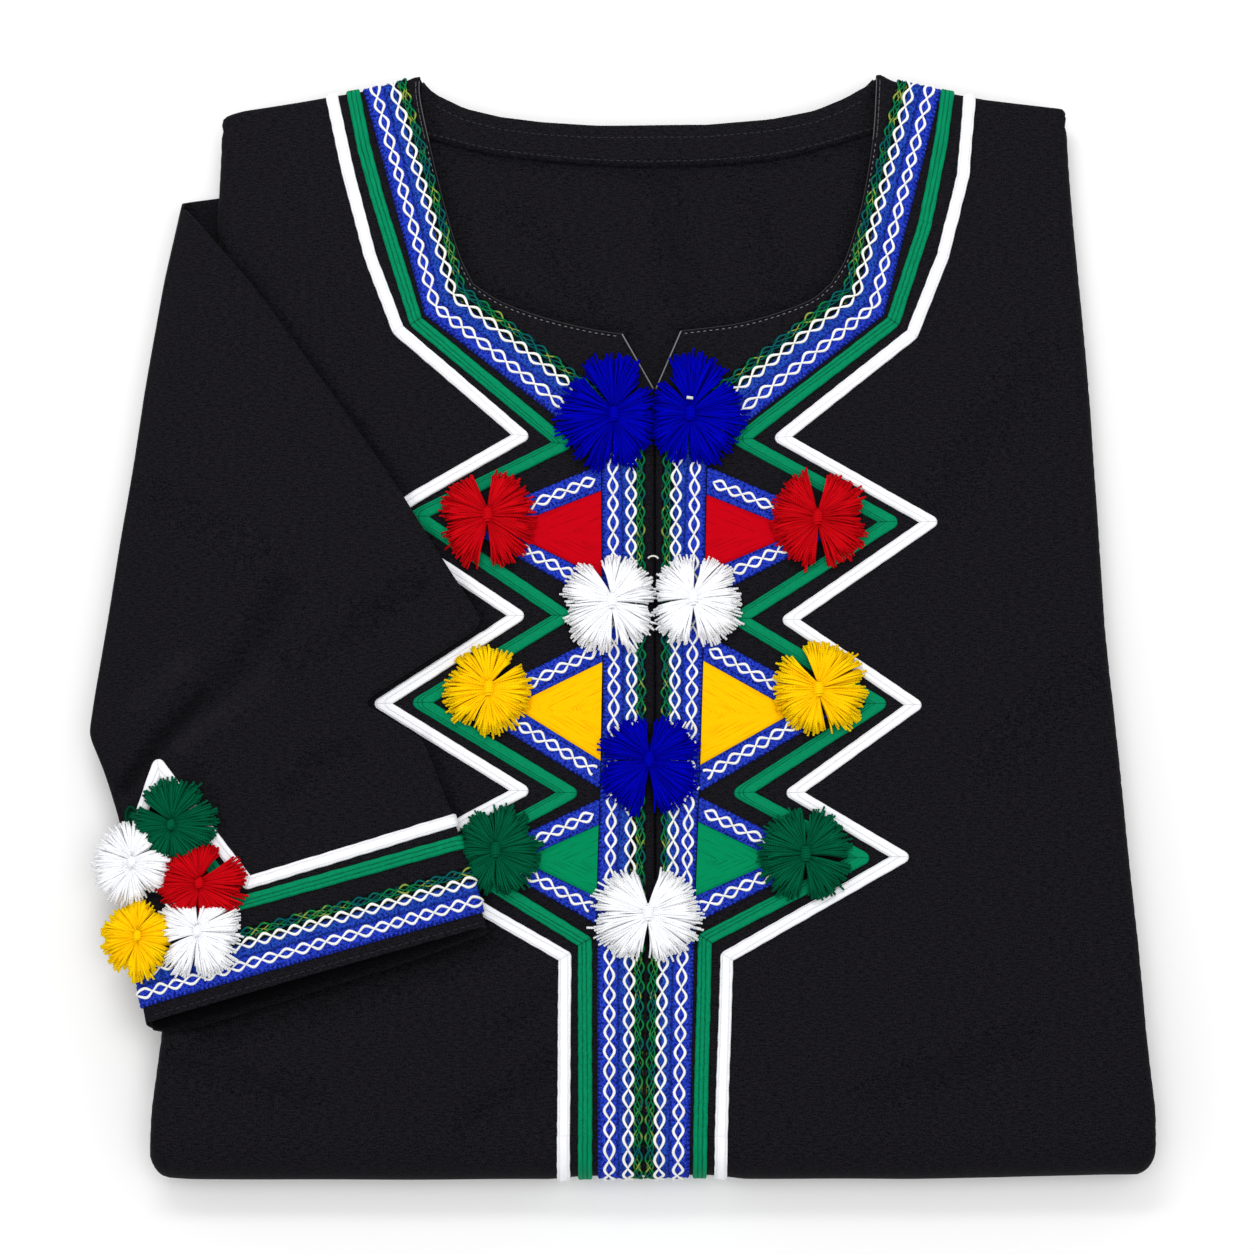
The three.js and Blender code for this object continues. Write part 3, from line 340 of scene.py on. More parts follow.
def front(x, y, lift=0.0):
    """The folded front: flat, rolled under at its sides, over the shoulders, round the bottom fold."""
    x, y, lift = arrays(x, y, lift)
    lift = lift - troughs(x, y, FRONT_CREASES) + 0.25 * ripple(x, y, 90, 1)
    curl = side_curl(y)
    across, up = roll_under(x, lift, body_left(y) + curl, body_right(y) - curl, curl, CURL_TURN)
    top_y, top_up = roll_over(y, column(SHOULDERS, 0, 1, across), ROLL, up)
    bend = np.clip((FOLD_Y - y) / FOLD_RADIUS, 0, math.pi)
    flap = np.maximum(FOLD_Y - y - math.pi * FOLD_RADIUS, 0)
    in_fold = y < FOLD_Y
    reach = FOLD_RADIUS + up + column(FOLD_SAG, 0, 1, x)
    along = np.where(in_fold, FOLD_Y - reach * np.sin(bend) + flap, top_y)
    fold_z = np.maximum(FOLD_RADIUS + (FOLD_RADIUS + up) * np.cos(bend), 0)
    height = np.where(in_fold, fold_z, front_top(y) + top_up)
    return np.stack([across, along, height], -1)


def back(x, y, lift=0.0):
    """The back panel inside the neckline, which rolls over the back of the neck."""
    x, y, lift = arrays(x, y, lift)
    lift = lift - troughs(x, y, BACK_CREASES) + 0.3 * ripple(x, y, 55, 2)
    along, up = roll_over(y, column(BACK_NECK, 0, 1, x), NECK_ROLL, lift)
    return np.stack([x, along, front_top(y) - BACK_DEPTH + up], -1)


def sleeve_edge_x(side, y):
    """x of the sleeve's left (0) or right (1) edge."""
    edge = sorted((row[side][1], row[side][0]) for row in SLEEVE_ROWS)
    return column(edge, 0, 1, y)


def sleeve_base(x, y):
    """Height of the sleeve's upper side before its creases; it sinks past the side of the body."""
    start = body_left(y) + 4
    width = start - sleeve_edge_x(0, y)
    share = np.clip((start - x) / width, 0, 0.97)
    droop = np.minimum(SLEEVE_DROOP, 0.45 * width) * (1 - np.sqrt(1 - share**2))
    return front_top(y) + SLEEVE_LIFT + SLEEVE_THICK - droop


def cuff_opening(x, y):
    """Rise of the upper side towards the cuff, which stands a little open."""
    (left, left_y), (right, right_y) = SLEEVE_ROWS[-1]
    share = np.clip((x - left) / (right - left), 0, 1)
    from_hem = y - left_y - (right_y - left_y) * share
    return CUFF_OPEN * np.sin(math.pi * share) * np.clip(1 - from_hem / 34, 0, 1) ** 2


def sleeve_top(x, y, lift=0.0):
    x, y, lift = arrays(x, y, lift)
    dent = troughs(x, y, SLEEVE_CREASES) - 0.35 * ripple(x, y, 62, 3) - cuff_opening(x, y)
    return np.stack([x, y, sleeve_base(x, y) - dent + lift], -1)


def on_sleeve(x, y, lift=0.0):
    """The sleeve's upper side with its rounded edges, so that trim runs round them."""
    x, y, lift = arrays(x, y, lift)
    low, high = sleeve_edge_x(0, y) + SLEEVE_ROUND, sleeve_edge_x(1, y) - SLEEVE_ROUND
    across, up = roll_under(x, lift, low, high, SLEEVE_ROUND, math.radians(115))
    points = sleeve_top(np.clip(x, low, high), y)
    points[..., 0] = across
    points[..., 2] += up
    return points


# ---- meshes ----
def make_piece(name, parts, material, more_nodes=()):
    """A piece of the object from parts (points in mm, faces, places on the cloth), joined in one mesh.

    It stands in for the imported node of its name, where there is one, and for more nodes if given.
    """
    points, faces, places = [], [], []
    count = 0
    for part_points, part_faces, part_places in parts:
        flat = np.asarray(part_points, float).reshape(-1, 3)
        points.append(flat)
        places.append(np.asarray(part_places, float).reshape(-1, 3))
        faces.extend([[count + i for i in face] for face in part_faces])
        count += len(flat)
    is_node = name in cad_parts
    title = f"fine_{name}" if is_node else name
    mesh = bpy.data.meshes.new(title)
    mesh.from_pydata((np.concatenate(points) * MM).tolist(), [], faces)
    mesh.attributes.new("place", "FLOAT_VECTOR", "POINT")
    mesh.attributes["place"].data.foreach_set("vector", np.concatenate(places).ravel())
    mesh.polygons.foreach_set("use_smooth", [True] * len(mesh.polygons))
    mesh.materials.append(material)
    piece = add_object(title, mesh)
    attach(piece, "root")
    if is_node:
        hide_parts(name, *more_nodes)
    return piece


def grid_faces(rows, columns, closed=False):
    """Faces of a grid of points in rows, closed round in its columns if asked."""
    faces = []
    for row in range(rows - 1):
        for i in range(columns if closed else columns - 1):
            j = (i + 1) % columns
            a, b = row * columns + i, row * columns + j
            faces.append((a, b, b + columns, a + columns))
    return faces


def tubes(lines, ups, radii, sides=6):
    """Round threads along `lines` (threads, points, 3), with radii (threads, points)."""
    threads, count = lines.shape[:2]
    along = np.gradient(lines, axis=1)
    aside = unit(np.cross(along, ups))
    over = unit(np.cross(aside, along))
    turn = np.linspace(0, 2 * math.pi, sides, endpoint=False)[None, None, :, None]
    ring = np.cos(turn) * aside[:, :, None] + np.sin(turn) * over[:, :, None]
    points = lines[:, :, None] + radii[:, :, None, None] * ring
    one = grid_faces(count, sides, closed=True)
    one.append(list(range(sides))[::-1])
    one.append([(count - 1) * sides + k for k in range(sides)])
    faces = [[t * count * sides + i for i in face] for t in range(threads) for face in one]
    length = np.cumsum(np.linalg.norm(np.diff(lines, axis=1), axis=2), axis=1)
    length = np.concatenate([np.zeros((threads, 1)), length], axis=1)
    places = np.zeros(points.shape)
    places[..., 0] = length[:, :, None]
    places[..., 1] = turn[..., 0] / (2 * math.pi)
    return points, faces, places


def laid(x, y, lift, surface, radii, sides=5):
    """Round threads that lie on a surface; x, y and lift have a row for each of them."""
    points = surface(x, y, lift)
    ups = surface(x, y, lift + 1) - points
    return tubes(points, ups, np.broadcast_to(radii, x.shape), sides)


def inside(outline, x, y):
    """Which of the places lie within an outline."""
    found = np.zeros(x.shape, bool)
    for (x0, y0), (x1, y1) in zip(outline, outline[1:] + outline[:1]):
        crosses = (y0 > y) != (y1 > y)
        with np.errstate(divide="ignore", invalid="ignore"):
            at = (x1 - x0) * (y - y0) / (y1 - y0) + x0
        found ^= crosses & (x < at)
    return found


EXTRA_CLEAR = 1.3  # how far a sheet's even grid keeps from its extra places
RIM_SHARE = 0.55  # and from its rim, as a share of the spacing
RIM_CLEAR = 1.5  # but no further than this
ROW_PITCH = 0.9  # the grid's rows lie closer together than its columns
FAR = 99.0  # stands for a distance to a mitre where there is none


def resample(path, step):
    """Places along a path, no further than `step` apart, with its corners kept."""
    points = [np.array(path[0], float)]
    for a, b in zip(path, path[1:]):
        a, b = np.array(a, float), np.array(b, float)
        parts = max(1, math.ceil(np.linalg.norm(b - a) / step))
        points.extend(a + (b - a) * k / parts for k in range(1, parts + 1))
    return np.array(points)


def distances(line):
    """Distance of each place on a line from its start."""
    steps = np.linalg.norm(np.diff(line, axis=0), axis=1)
    return np.concatenate([[0], np.cumsum(steps)])


def clear_of(places, others, distance):
    """The places that lie further than a distance from each of the others."""
    for other in others:
        places = places[np.hypot(*(places - other).T) > distance]
    return places


def panel(outline, spacing, surface, lift=0.0, creases=(), extra=()):
    """A sheet of cloth within an outline, laid on a surface, with extra places where it bends."""
    rim = resample(list(outline) + [outline[0]], spacing)[:-1]
    low, high = rim.min(0), rim.max(0)
    xs = np.arange(low[0] + spacing / 2, high[0], spacing)
    ys = np.arange(low[1] + spacing / 2, high[1], spacing * ROW_PITCH)
    gx, gy = np.meshgrid(xs, ys)
    gx = gx + (np.arange(len(ys)) % 2)[:, None] * spacing / 2
    grid = clear_of(np.column_stack([gx.ravel(), gy.ravel()]), extra, EXTRA_CLEAR)
    grid = np.concatenate([grid, np.reshape(extra, (-1, 2))])
    grid = grid[inside([tuple(p) for p in rim], grid[:, 0], grid[:, 1])]
    places = np.concatenate([rim, clear_of(grid, rim, min(spacing * RIM_SHARE, RIM_CLEAR))])
    ring = list(range(len(rim)))
    made = delaunay_2d_cdt([tuple(p) for p in places], [], [ring], 1, 1e-4)
    flat = np.array([tuple(v) for v in made[0]])
    faces = [f if turns_left(flat[list(f)]) else f[::-1] for f in made[2]]
    points = surface(flat[:, 0], flat[:, 1], lift)
    # the places' third value is the depth of the creases, which paints shade into the cloth
    return points, faces, np.column_stack([flat, troughs(flat[:, 0], flat[:, 1], creases)])


def turns_left(corners):
    (ax, ay), (bx, by), (cx, cy) = corners[:3]
    return (bx - ax) * (cy - ay) - (by - ay) * (cx - ax) > 0


def ribbon(rows_a, rows_b, surface, profile, marks=None):
    """A strip between two edges. `profile` gives shares across from edge a to edge b, and lifts."""
    shares = np.array([p[0] for p in profile])[None, :, None]
    lifts = np.array([p[1] for p in profile])[None, :]
    flat = rows_a[:, None] + (rows_b - rows_a)[:, None] * shares
    points = surface(flat[..., 0], flat[..., 1], lifts)
    along = distances((rows_a + rows_b) / 2)
    across = np.linalg.norm(rows_b - rows_a, axis=1)[:, None] * shares[..., 0]
    third = np.broadcast_to(FAR if marks is None else marks[:, None], across.shape)
    places = np.stack([np.broadcast_to(along[:, None], across.shape), across, third], -1)
    faces = grid_faces(len(rows_a), len(profile))
    return points, facing_up(points, faces, len(faces) // 2), places


def facing_up(points, faces, sample):
    """The faces, turned over if the one that is taken as a sample looks down."""
    corners = points.reshape(-1, 3)[list(faces[sample])]
    normal = np.cross(corners[1] - corners[0], corners[2] - corners[0])
    return faces if normal[2] >= 0 else [face[::-1] for face in faces]


def stitches(path, surface, length, gap, radius, lift):
    """Short threads laid end to end along a path, with gaps between them."""
    line = resample(path, 0.4)
    along = distances(line)
    starts = np.arange(gap, along[-1] - length, length + gap)
    shares = np.array([0, 0.2, 0.5, 0.8, 1])
    at = starts[:, None] + length * shares
    x, y = np.interp(at, along, line[:, 0]), np.interp(at, along, line[:, 1])
    # both ends dip into the cloth
    rise = lift + radius * np.array([-0.9, 0.3, 0.6, 0.3, -0.9])
    return laid(x, y, rise, surface, radius)


# ---- materials ----
def linear(red, green, blue):
    """A display colour from 0 to 255 as the renderer's linear one."""
    parts = [v / 255 for v in (red, green, blue)]
    return [v / 12.92 if v <= 0.04045 else ((v + 0.055) / 1.055) ** 2.4 for v in parts] + [1]


class Finish:
    """A material that is being put together from nodes."""

    def __init__(self, name, roughness, **constants):
        self.material = bpy.data.materials.new(name)
        self.material.use_nodes = True
        self.nodes = self.material.node_tree.nodes
        self.links = self.material.node_tree.links
        self.shader = self.nodes["Principled BSDF"]
        self.shader.inputs["Roughness"].default_value = roughness
        for socket, value in constants.items():
            self.shader.inputs[socket.replace("_", " ")].default_value = value
        self.place = self.node("ShaderNodeAttribute", attribute_name="place").outputs["Vector"]

    def node(self, kind, settings=None, **attributes):
        made = self.nodes.new(kind)
        for key, value in attributes.items():
            setattr(made, key, value)
        for key, value in (settings or {}).items():
            self.set(made.inputs[key], value)
        return made

    def set(self, socket, value):
        if isinstance(value, bpy.types.NodeSocket):
            self.links.new(value, socket)
        else:
            socket.default_value = value

    def math(self, operation, *values):
        return self.node("ShaderNodeMath", dict(enumerate(values)), operation=operation).outputs[0]

    def add(self, a, b):
        return self.math("ADD", a, b)

    def subtract(self, a, b):
        return self.math("SUBTRACT", a, b)

    def times(self, a, b, plus=None):
        if plus is None:
            return self.math("MULTIPLY", a, b)
        return self.math("MULTIPLY_ADD", a, b, plus)

    def noise(self, scale, detail=2.0, stretch=(1, 1, 1)):
        moved = self.node("ShaderNodeVectorMath", {0: self.place, 1: stretch}, operation="MULTIPLY")
        values = {"Vector": moved.outputs[0], "Scale": scale, "Detail": detail}
        return self.node("ShaderNodeTexNoise", values).outputs["Fac"]

    def split(self):
        parts = self.node("ShaderNodeSeparateXYZ", {"Vector": self.place})
        return parts.outputs["X"], parts.outputs["Y"], parts.outputs["Z"]

    def waves(self, value, period):
        """A wave from 0 to 1 with the given period."""
        turn = self.times(value, 2 * math.pi / period)
        return self.times(self.math("SINE", turn), 0.5, 0.5)

    def near(self, value, middle, half):
        """1 at the middle, falling to 0 at half a width away."""
        away = self.math("ABSOLUTE", self.subtract(value, middle))
        values = {"Value": away, "From Max": half, "To Min": 1.0, "To Max": 0.0}
        return self.node("ShaderNodeMapRange", values).outputs[0]

    def sharpen(self, value, low, high):
        """0 below the low value, 1 above the high one, with a soft step between them."""
        values = {"Value": value, "From Min": low, "From Max": high}
        return self.node("ShaderNodeMapRange", values, interpolation_type="SMOOTHSTEP").outputs[0]

    def mix(self, share, low, high):
        values = {"Factor": share, 6: low, 7: high}
        return self.node("ShaderNodeMix", values, data_type="RGBA").outputs[2]

    def colour(self, value):
        self.set(self.shader.inputs["Base Color"], value)

    def bump(self, height, depth, strength):
        """Relief of `depth` millimetres from a height of 0 to 1."""
        values = {"Strength": strength, "Distance": depth * MM, "Height": height}
        self.set(self.shader.inputs["Normal"], self.node("ShaderNodeBump", values).outputs["Normal"])


def cloth_material():
    made = Finish("black_crepe", 0.8, Sheen_Weight=0.02, Sheen_Roughness=0.4, Specular_IOR_Level=0.03)
    x, y, hollow = made.split()
    twill = made.waves(made.add(x, made.times(y, 0.55)), 0.9)
    weft = made.waves(made.subtract(y, made.times(x, 0.2)), 0.75)
    grain = made.noise(1.7, 3.0)
    slub = made.noise(0.35, 2.0, (1, 4, 1))
    weave = made.add(made.times(twill, 0.35), made.times(weft, 0.25))
    height = made.add(weave, made.times(grain, 0.8))
    tone = made.times(slub, 0.35, made.times(grain, 0.65))
    black = made.mix(made.sharpen(tone, 0.34, 0.66), linear(5, 5, 6), linear(31, 29, 34))
    # painted shade: the third value of a place darkens the cloth towards near-black. That value is the
    # depth of a crease, of the cuff's mouth or of a trough beside the sleeve or the neck edge
    black = made.mix(made.times(hollow, 0.2), black, linear(1, 1, 2))
    # painted highlight: on a crease's ridge, where that depth is below 0, the cloth turns lighter
    made.colour(made.mix(made.times(hollow, -0.25), black, linear(36, 34, 40)))
    made.bump(height, 0.16, 0.9)
    return made.material


def tape_material(name, dark, light, grooves, **constants):
    """A flat tape: grooves and threads along it, with painted shade in the grooves and a line of painted
    shade at each mitred fold.
    """
    made = Finish(name, 0.6, Specular_IOR_Level=0.04, **constants)
    along, across, fold = made.split()
    groove = made.math("MAXIMUM", *[made.near(across, middle, 0.5) for middle in grooves])
    threads = made.noise(1.6, 1.0, (0.06, 1, 1))
    cross = made.waves(along, 0.7)
    mottle = made.noise(0.5, 2.0, (0.3, 1.5, 1))
    mitre = made.near(fold, 0.0, 0.5)
    tone = made.times(threads, 0.7, made.times(mottle, 0.6, 0.2))
    # painted shade in the grooves
    tone = made.subtract(tone, made.times(groove, 0.58))
    # painted shade along each mitred fold
    tone = made.subtract(tone, made.times(mitre, 0.6))
    made.colour(made.mix(tone, linear(*dark), linear(*light)))
    height = made.times(cross, 0.12, made.times(threads, 0.5))
    height = made.subtract(height, made.math("MAXIMUM", mitre, groove))
    made.bump(height, 0.25, 0.8)
    return made.material


def braid_material(name, width, plain=False):
    """Blue braid: speckled pile, stitched edges, a seam down the middle, a dark mottled inner band."""
    made = Finish(name, 0.8, Specular_IOR_Level=0.03)
    along, across, _ = made.split()
    share = made.math("DIVIDE", across, width)
    fleck = made.noise(0.9, 3.0)
    fine = made.noise(2.2, 1.0)
    blue = made.mix(made.sharpen(fleck, 0.36, 0.6), linear(10, 20, 112), linear(34, 60, 192))
    blue = made.mix(made.sharpen(fine, 0.6, 0.78), blue, linear(84, 112, 226))
    dash = made.waves(along, 1.9)
    edge = made.near(share, 0.03, 0.07)
    if plain:
        edge = made.math("MAXIMUM", edge, made.near(share, 0.97, 0.07))
    stitch = made.times(edge, made.sharpen(dash, 0.35, 0.75))
    blue = made.mix(made.times(stitch, 0.85), blue, linear(10, 14, 70))
    height = made.times(fleck, 0.7, made.times(fine, 0.5))
    if not plain:
        seam = made.times(made.near(share, 0.47, 0.05), made.sharpen(fine, 0.3, 0.6))
        blue = made.mix(made.times(seam, 0.85), blue, linear(8, 18, 60))
        teal = made.mix(made.sharpen(fleck, 0.4, 0.6), linear(14, 34, 92), linear(30, 92, 140))
        inner = made.times(made.sharpen(share, 0.4, 0.6), made.sharpen(fine, 0.36, 0.56))
        blue = made.mix(made.times(inner, 0.6), blue, teal)
        threads = made.noise(0.55, 3.0)
        green = made.mix(made.sharpen(threads, 0.5, 0.68), linear(6, 9, 14), linear(6, 50, 46))
        gold = made.noise(0.33, 2.0, (1, 2, 1))
        green = made.mix(made.sharpen(gold, 0.64, 0.72), green, linear(92, 104, 36))
        band = made.sharpen(made.add(share, made.times(fine, 0.04)), 0.72, 0.8)
        blue = made.mix(band, blue, green)
        height = made.subtract(height, seam)
    made.colour(blue)
    made.bump(made.subtract(height, stitch), 0.35, 0.9)
    return made.material


def satin_material(name, dark, light):
    """Satin stitch: smooth threads laid side by side along each slanting edge."""
    made = Finish(name, 0.6, Specular_IOR_Level=0.02)
    away, _, _ = made.split()
    wander = made.times(made.noise(0.06, 1.0), 1.4)
    thread = made.waves(made.add(away, wander), 0.85)
    loose = made.noise(1.1, 2.0, (1.0, 0.08, 1))
    tone = made.times(thread, 0.25, made.times(loose, 0.9))
    made.colour(made.mix(made.sharpen(tone, 0.26, 0.5), linear(*dark), linear(*light)))
    made.bump(made.add(made.times(thread, 0.6), loose), 0.14, 0.7)
    return made.material


def yarn_material(name, dark, light, roughness=0.75, twist=1.1, **constants):
    """Twisted yarn: slanting plies round each thread, with painted shade between them, and a tone of its
    own for each.
    """
    made = Finish(name, roughness, Specular_IOR_Level=0.02, **constants)
    along, round_it, own = made.split()
    turn = made.times(round_it, 2.0, made.math("DIVIDE", along, twist))
    ply = made.waves(turn, 1.0)
    # painted shade: the grooves between the plies are darker
    tone = made.times(ply, 0.25, made.times(own, 0.75))
    made.colour(made.mix(tone, linear(*dark), linear(*light)))
    made.bump(ply, 0.12, 0.6)
    return made.material


def mixed_thread_material():
    """Space-dyed thread that turns from green to teal to yellow along its length."""
    made = Finish("dyed_thread", 0.7, Specular_IOR_Level=0.04)
    along, round_it, _ = made.split()
    change = made.noise(0.13, 1.0, (1, 0, 3))
    first = made.mix(made.sharpen(change, 0.4, 0.52), linear(8, 92, 96), linear(10, 128, 62))
    dyed = made.mix(made.sharpen(change, 0.58, 0.68), first, linear(150, 170, 70))
    ply = made.waves(made.times(round_it, 2.0, along), 1.0)
    made.colour(made.mix(made.times(ply, 0.3), dyed, linear(6, 40, 34)))
    made.bump(ply, 0.1, 0.5)
    return made.material


CLOTH_FINISH = cloth_material()
WHITE_FINISH = tape_material("white_satin_tape", (216, 218, 224), (247, 247, 250), (0.9, 4.7))
GREEN_FINISH = tape_material("green_ribbed_tape", (0, 62, 40), (0, 138, 92), (2.05, 4.05))
BRAID_FINISH = braid_material("blue_braid", BRAID_WIDTH)
BAR_FINISH = braid_material("blue_bar", BAR_WIDTH, plain=True)
SATIN = {
    "red": satin_material("red_satin", (146, 0, 8), (190, 0, 18)),
    "yellow": satin_material("yellow_satin", (226, 146, 0), (255, 192, 0)),
    "green": satin_material("green_satin", (0, 98, 58), (0, 134, 84)),
}
YARN = {
    "blue": yarn_material("blue_yarn", (0, 0, 62), (0, 2, 204)),
    "red": yarn_material("red_yarn", (120, 0, 6), (224, 10, 22)),
    "yellow": yarn_material("yellow_yarn", (246, 162, 0), (255, 226, 8)),
    "green": yarn_material("green_yarn", (0, 44, 30), (2, 104, 68)),
    "white": yarn_material("white_yarn", (236, 238, 246), (255, 255, 255)),
}
CHAIN_FINISH = yarn_material("cream_chain", (214, 216, 206), (255, 255, 250), 0.65, 0.9)
DYED_FINISH = mixed_thread_material()
EDGE_FINISH = yarn_material("grey_edge_thread", (110, 110, 112), (200, 200, 200), 0.6, 0.8)
PALE_STITCH_FINISH = yarn_material("pale_stitch", (80, 80, 82), (150, 150, 150), 0.6, 0.8)
DARK_STITCH_FINISH = yarn_material("dark_stitch", (46, 46, 50), (96, 96, 98), 0.6, 0.8)


# ---- cloth pieces ----
def cloth_piece(name, part, wall=CLOTH, more_nodes=()):
    """A piece of the black cloth. Its part is the outside of a thin shell, where it has a wall."""
    piece = make_piece(name, [part], CLOTH_FINISH, more_nodes)
    if wall:
        shell = piece.modifiers.new("wall", "SOLIDIFY")
        shell.thickness = wall * MM
        shell.offset = -1
    return piece


def smooth(places, parts=6):
    """Places on a soft curve that runs through the given ones."""
    p = np.array(places, float)
    p = np.concatenate([[2 * p[0] - p[1]], p, [2 * p[-1] - p[-2]]])
    t = np.linspace(0, 1, parts + 1)[1:, None]
    found = [p[1]]
    for a, b, c, d in zip(p, p[1:], p[2:], p[3:]):
        bend = 2 * a - 5 * b + 4 * c - d + t * (3 * (b - c) + d - a)
        found.extend(b + 0.5 * t * (c - a + t * bend))
    return [tuple(float(v) for v in q) for q in found]


def neckline(k):
    """The front's neck edge, from the left (0) or right (1) shoulder down to the V."""
    foot = SLIT_X + (k - 0.5) * SLIT_WIDTH
    return smooth(NECK_SIDES[k]) + smooth(NECK_BOTTOMS[k])[1:] + [(foot, V_Y)]


NECK_LEFT, NECK_RIGHT = neckline(0), neckline(1)


FRONT_SPACING = 3.4
TOP_LEFT_XS = (-104.6, -106, -111, -118, -132, -159, -186, -190)
TOP_RIGHT_XS = (183, 165, 151, 130, 109, 103.8, 101.8)
CORNER_LEFT = [(-193.4, 240.2), (-196, 236.5)]
CORNER_RIGHT = [(189.3, 236.5), (187, 240.5)]
SHOULDER_HANG = 4  # how far the front hangs down behind the shoulders
FRONT_DROPS = (-3.2, -2.2, -1.2, -0.2, 0.8, 1.8)  # rows of extra places along the shoulders
CREASE_ASIDES = (0, 1.8, 3.4)  # and beside the sleeve


def front_outline():
    """The unrolled front: sides with what curls under, shoulders, neckline and slit."""
    heights = np.linspace(SHOULDER_Y - 9, FOLD_Y - math.pi * FOLD_RADIUS - BOTTOM_FLAP, 60)
    # cloth past the widest place, less the curl's own radius
    under = side_curl(heights) * (CURL_TURN - 1)
    left = list(zip(body_left(heights) - under, heights))
    right = list(zip(body_right(heights) + under, heights))[::-1]
    over = ROLL * (math.pi / 2 - 1) + SHOULDER_HANG
    top_left = [(x, shoulder_y(x) + over) for x in TOP_LEFT_XS]
    top_right = [(x, shoulder_y(x) + over) for x in TOP_RIGHT_XS]
    half = SLIT_WIDTH / 2
    slit = [(SLIT_X + half, SLIT_END), (SLIT_X - half, SLIT_END)]
    middle = NECK_RIGHT + slit + NECK_LEFT[::-1]
    return left + right + CORNER_RIGHT + top_right + middle + top_left + CORNER_LEFT


def front_rolls():
    """Extra places where the front rolls over its shoulders and sinks beside the sleeve."""
    rolls = [
        (x, shoulder_y(x) + drop)
        for x in [*np.arange(-189, -105, 2.0), *np.arange(103.5, 186, 2.0)]
        for drop in FRONT_DROPS
    ]
    for *_, path in FRONT_CREASES[-3:-1]:
        for aside in CREASE_ASIDES:
            rolls += beside(path, aside, 2.0)
    return rolls


def front_panel():
    """The front, which lies on top of the stack."""
    part = panel(front_outline(), FRONT_SPACING, front, 0.0, FRONT_CREASES, front_rolls())
    return cloth_piece("front_panel", part)


def shoulder_y(x):
    return float(column(SHOULDERS, 0, 1, x))


def neck_edge(rise, low=-104, high=101):
    """Places along the back of the neck, moved up by `rise`."""
    xs = np.linspace(low, high, 60)
    return [(x, float(column(BACK_NECK, 0, 1, x)) + rise) for x in xs]


BACK_SPACING = 5.0
BACK_INSET = CURL + 0.8  # from the front's side edges
BACK_SHOULDER_INSET = 1.2
NECK_HANG = 5.5  # how far the back goes on over the back of the neck


def back_panel():
    heights = np.linspace(230, FOLD_Y + 2, 40)
    left = [(body_left(y) + BACK_INSET, y) for y in heights]
    right = [(body_right(y) - BACK_INSET, y) for y in heights][::-1]
    shoulders = [(x, y - BACK_SHOULDER_INSET) for x, y in SHOULDERS][::-1]
    right_top = [p for p in shoulders if 104 < p[0] < 180]
    left_top = [p for p in shoulders if -186 < p[0] < -108]
    outline = left + right + right_top + neck_edge(NECK_HANG)[::-1] + left_top
    # extra places where it rolls over at the neck
    rolls = [place for rise in (-1.4, -0.7, 0, 0.7) for place in neck_edge(rise, -100, 97)]
    return cloth_piece("back_panel", panel(outline, BACK_SPACING, back, 0.0, BACK_CREASES, rolls))


FACING_SPACING = 2.6


def back_neck_facing():
    upper = neck_edge(-0.4, -103, 100)[::-1]
    outline = smooth(FACING_EDGE, 8) + [(104.5, 245)] + upper + [(-107, 245)]
    part = panel(outline, FACING_SPACING, back, FACING_LIFT, BACK_CREASES)
    return cloth_piece("back_neck_facing", part, FACING_WALL)


LAYERS = 8  # rounded edges that show in the hidden stack
LAYER_ROWS = 6  # rows of points round each edge
LAYERS_START = FOLD_Y + BOTTOM_FLAP + 1.5  # foot of the stack, where the front's flap ends
LAYERS_FOLD = FOLD_RADIUS - CORE_DEPTH  # radius of the stack inside the bottom fold
LAYERS_FOLD_INSET = 11  # from its sides
EDGE_INSET = 3.2  # how far the stack's edges lie inside the body's outline
EDGE_BULGE = 2.0  # how far each layer's edge stands out between the others
EDGE_LEAST = 1.4  # the edges come no nearer to the outline


def layers_rim():
    """Places round the hidden stack, each with the direction in which the edge there faces."""
    heights = np.linspace(LAYERS_START, 226, 90)
    right = [(body_right(y), y, 1, 0) for y in heights]
    left = [(body_left(y), y, -1, 0) for y in heights][::-1]
    corner = math.sqrt(0.5)
    top = [(body_right(230) - 3, 233.5, corner, corner)]
    for x in np.linspace(180, -180, 90):
        in_neck = -101 < x < 98
        y = column(BACK_NECK, 0, 1, x) - 0.4 if in_neck else column(SHOULDERS, 0, 1, x) - 0.6
        top.append((x, float(y), 0, 1))
    top.append((body_left(230) + 3, 231.5, -corner, corner))
    return np.array(right + top + left)


def layers_row(rim, k):
    """Row k of points round the stack: its rounded, uneven edges, and its turn in the bottom fold."""
    share = k / (LAYERS * LAYER_ROWS)
    layer = min(k // LAYER_ROWS, LAYERS - 1)
    turn = math.pi * (k - layer * LAYER_ROWS) / LAYER_ROWS
    wobble = 0.9 * ripple(rim[:, 0] + 40 * layer, rim[:, 1], 70, layer)
    stagger = 1.6 * math.sin(2.4 * layer)
    inset = EDGE_INSET + wobble - EDGE_BULGE * math.sin(turn) ** 0.7 + stagger
    inset = np.maximum(inset, EDGE_LEAST)
    x, y = rim[:, 0] - rim[:, 2] * inset, rim[:, 1] - rim[:, 3] * inset
    ring = np.column_stack([x, y, (front_top(y) - CORE_DEPTH) * (1 - share)])
    bend = math.pi * share
    left, right = body_left(LAYERS_START), body_right(LAYERS_START)
    across = np.linspace(left + LAYERS_FOLD_INSET, right - LAYERS_FOLD_INSET, 40)
    fold_y = np.full(len(across), FOLD_Y - LAYERS_FOLD * math.sin(bend))
    fold_z = np.full(len(across), FOLD_RADIUS + LAYERS_FOLD * math.cos(bend))
    return np.concatenate([ring, np.column_stack([across, fold_y, fold_z])])


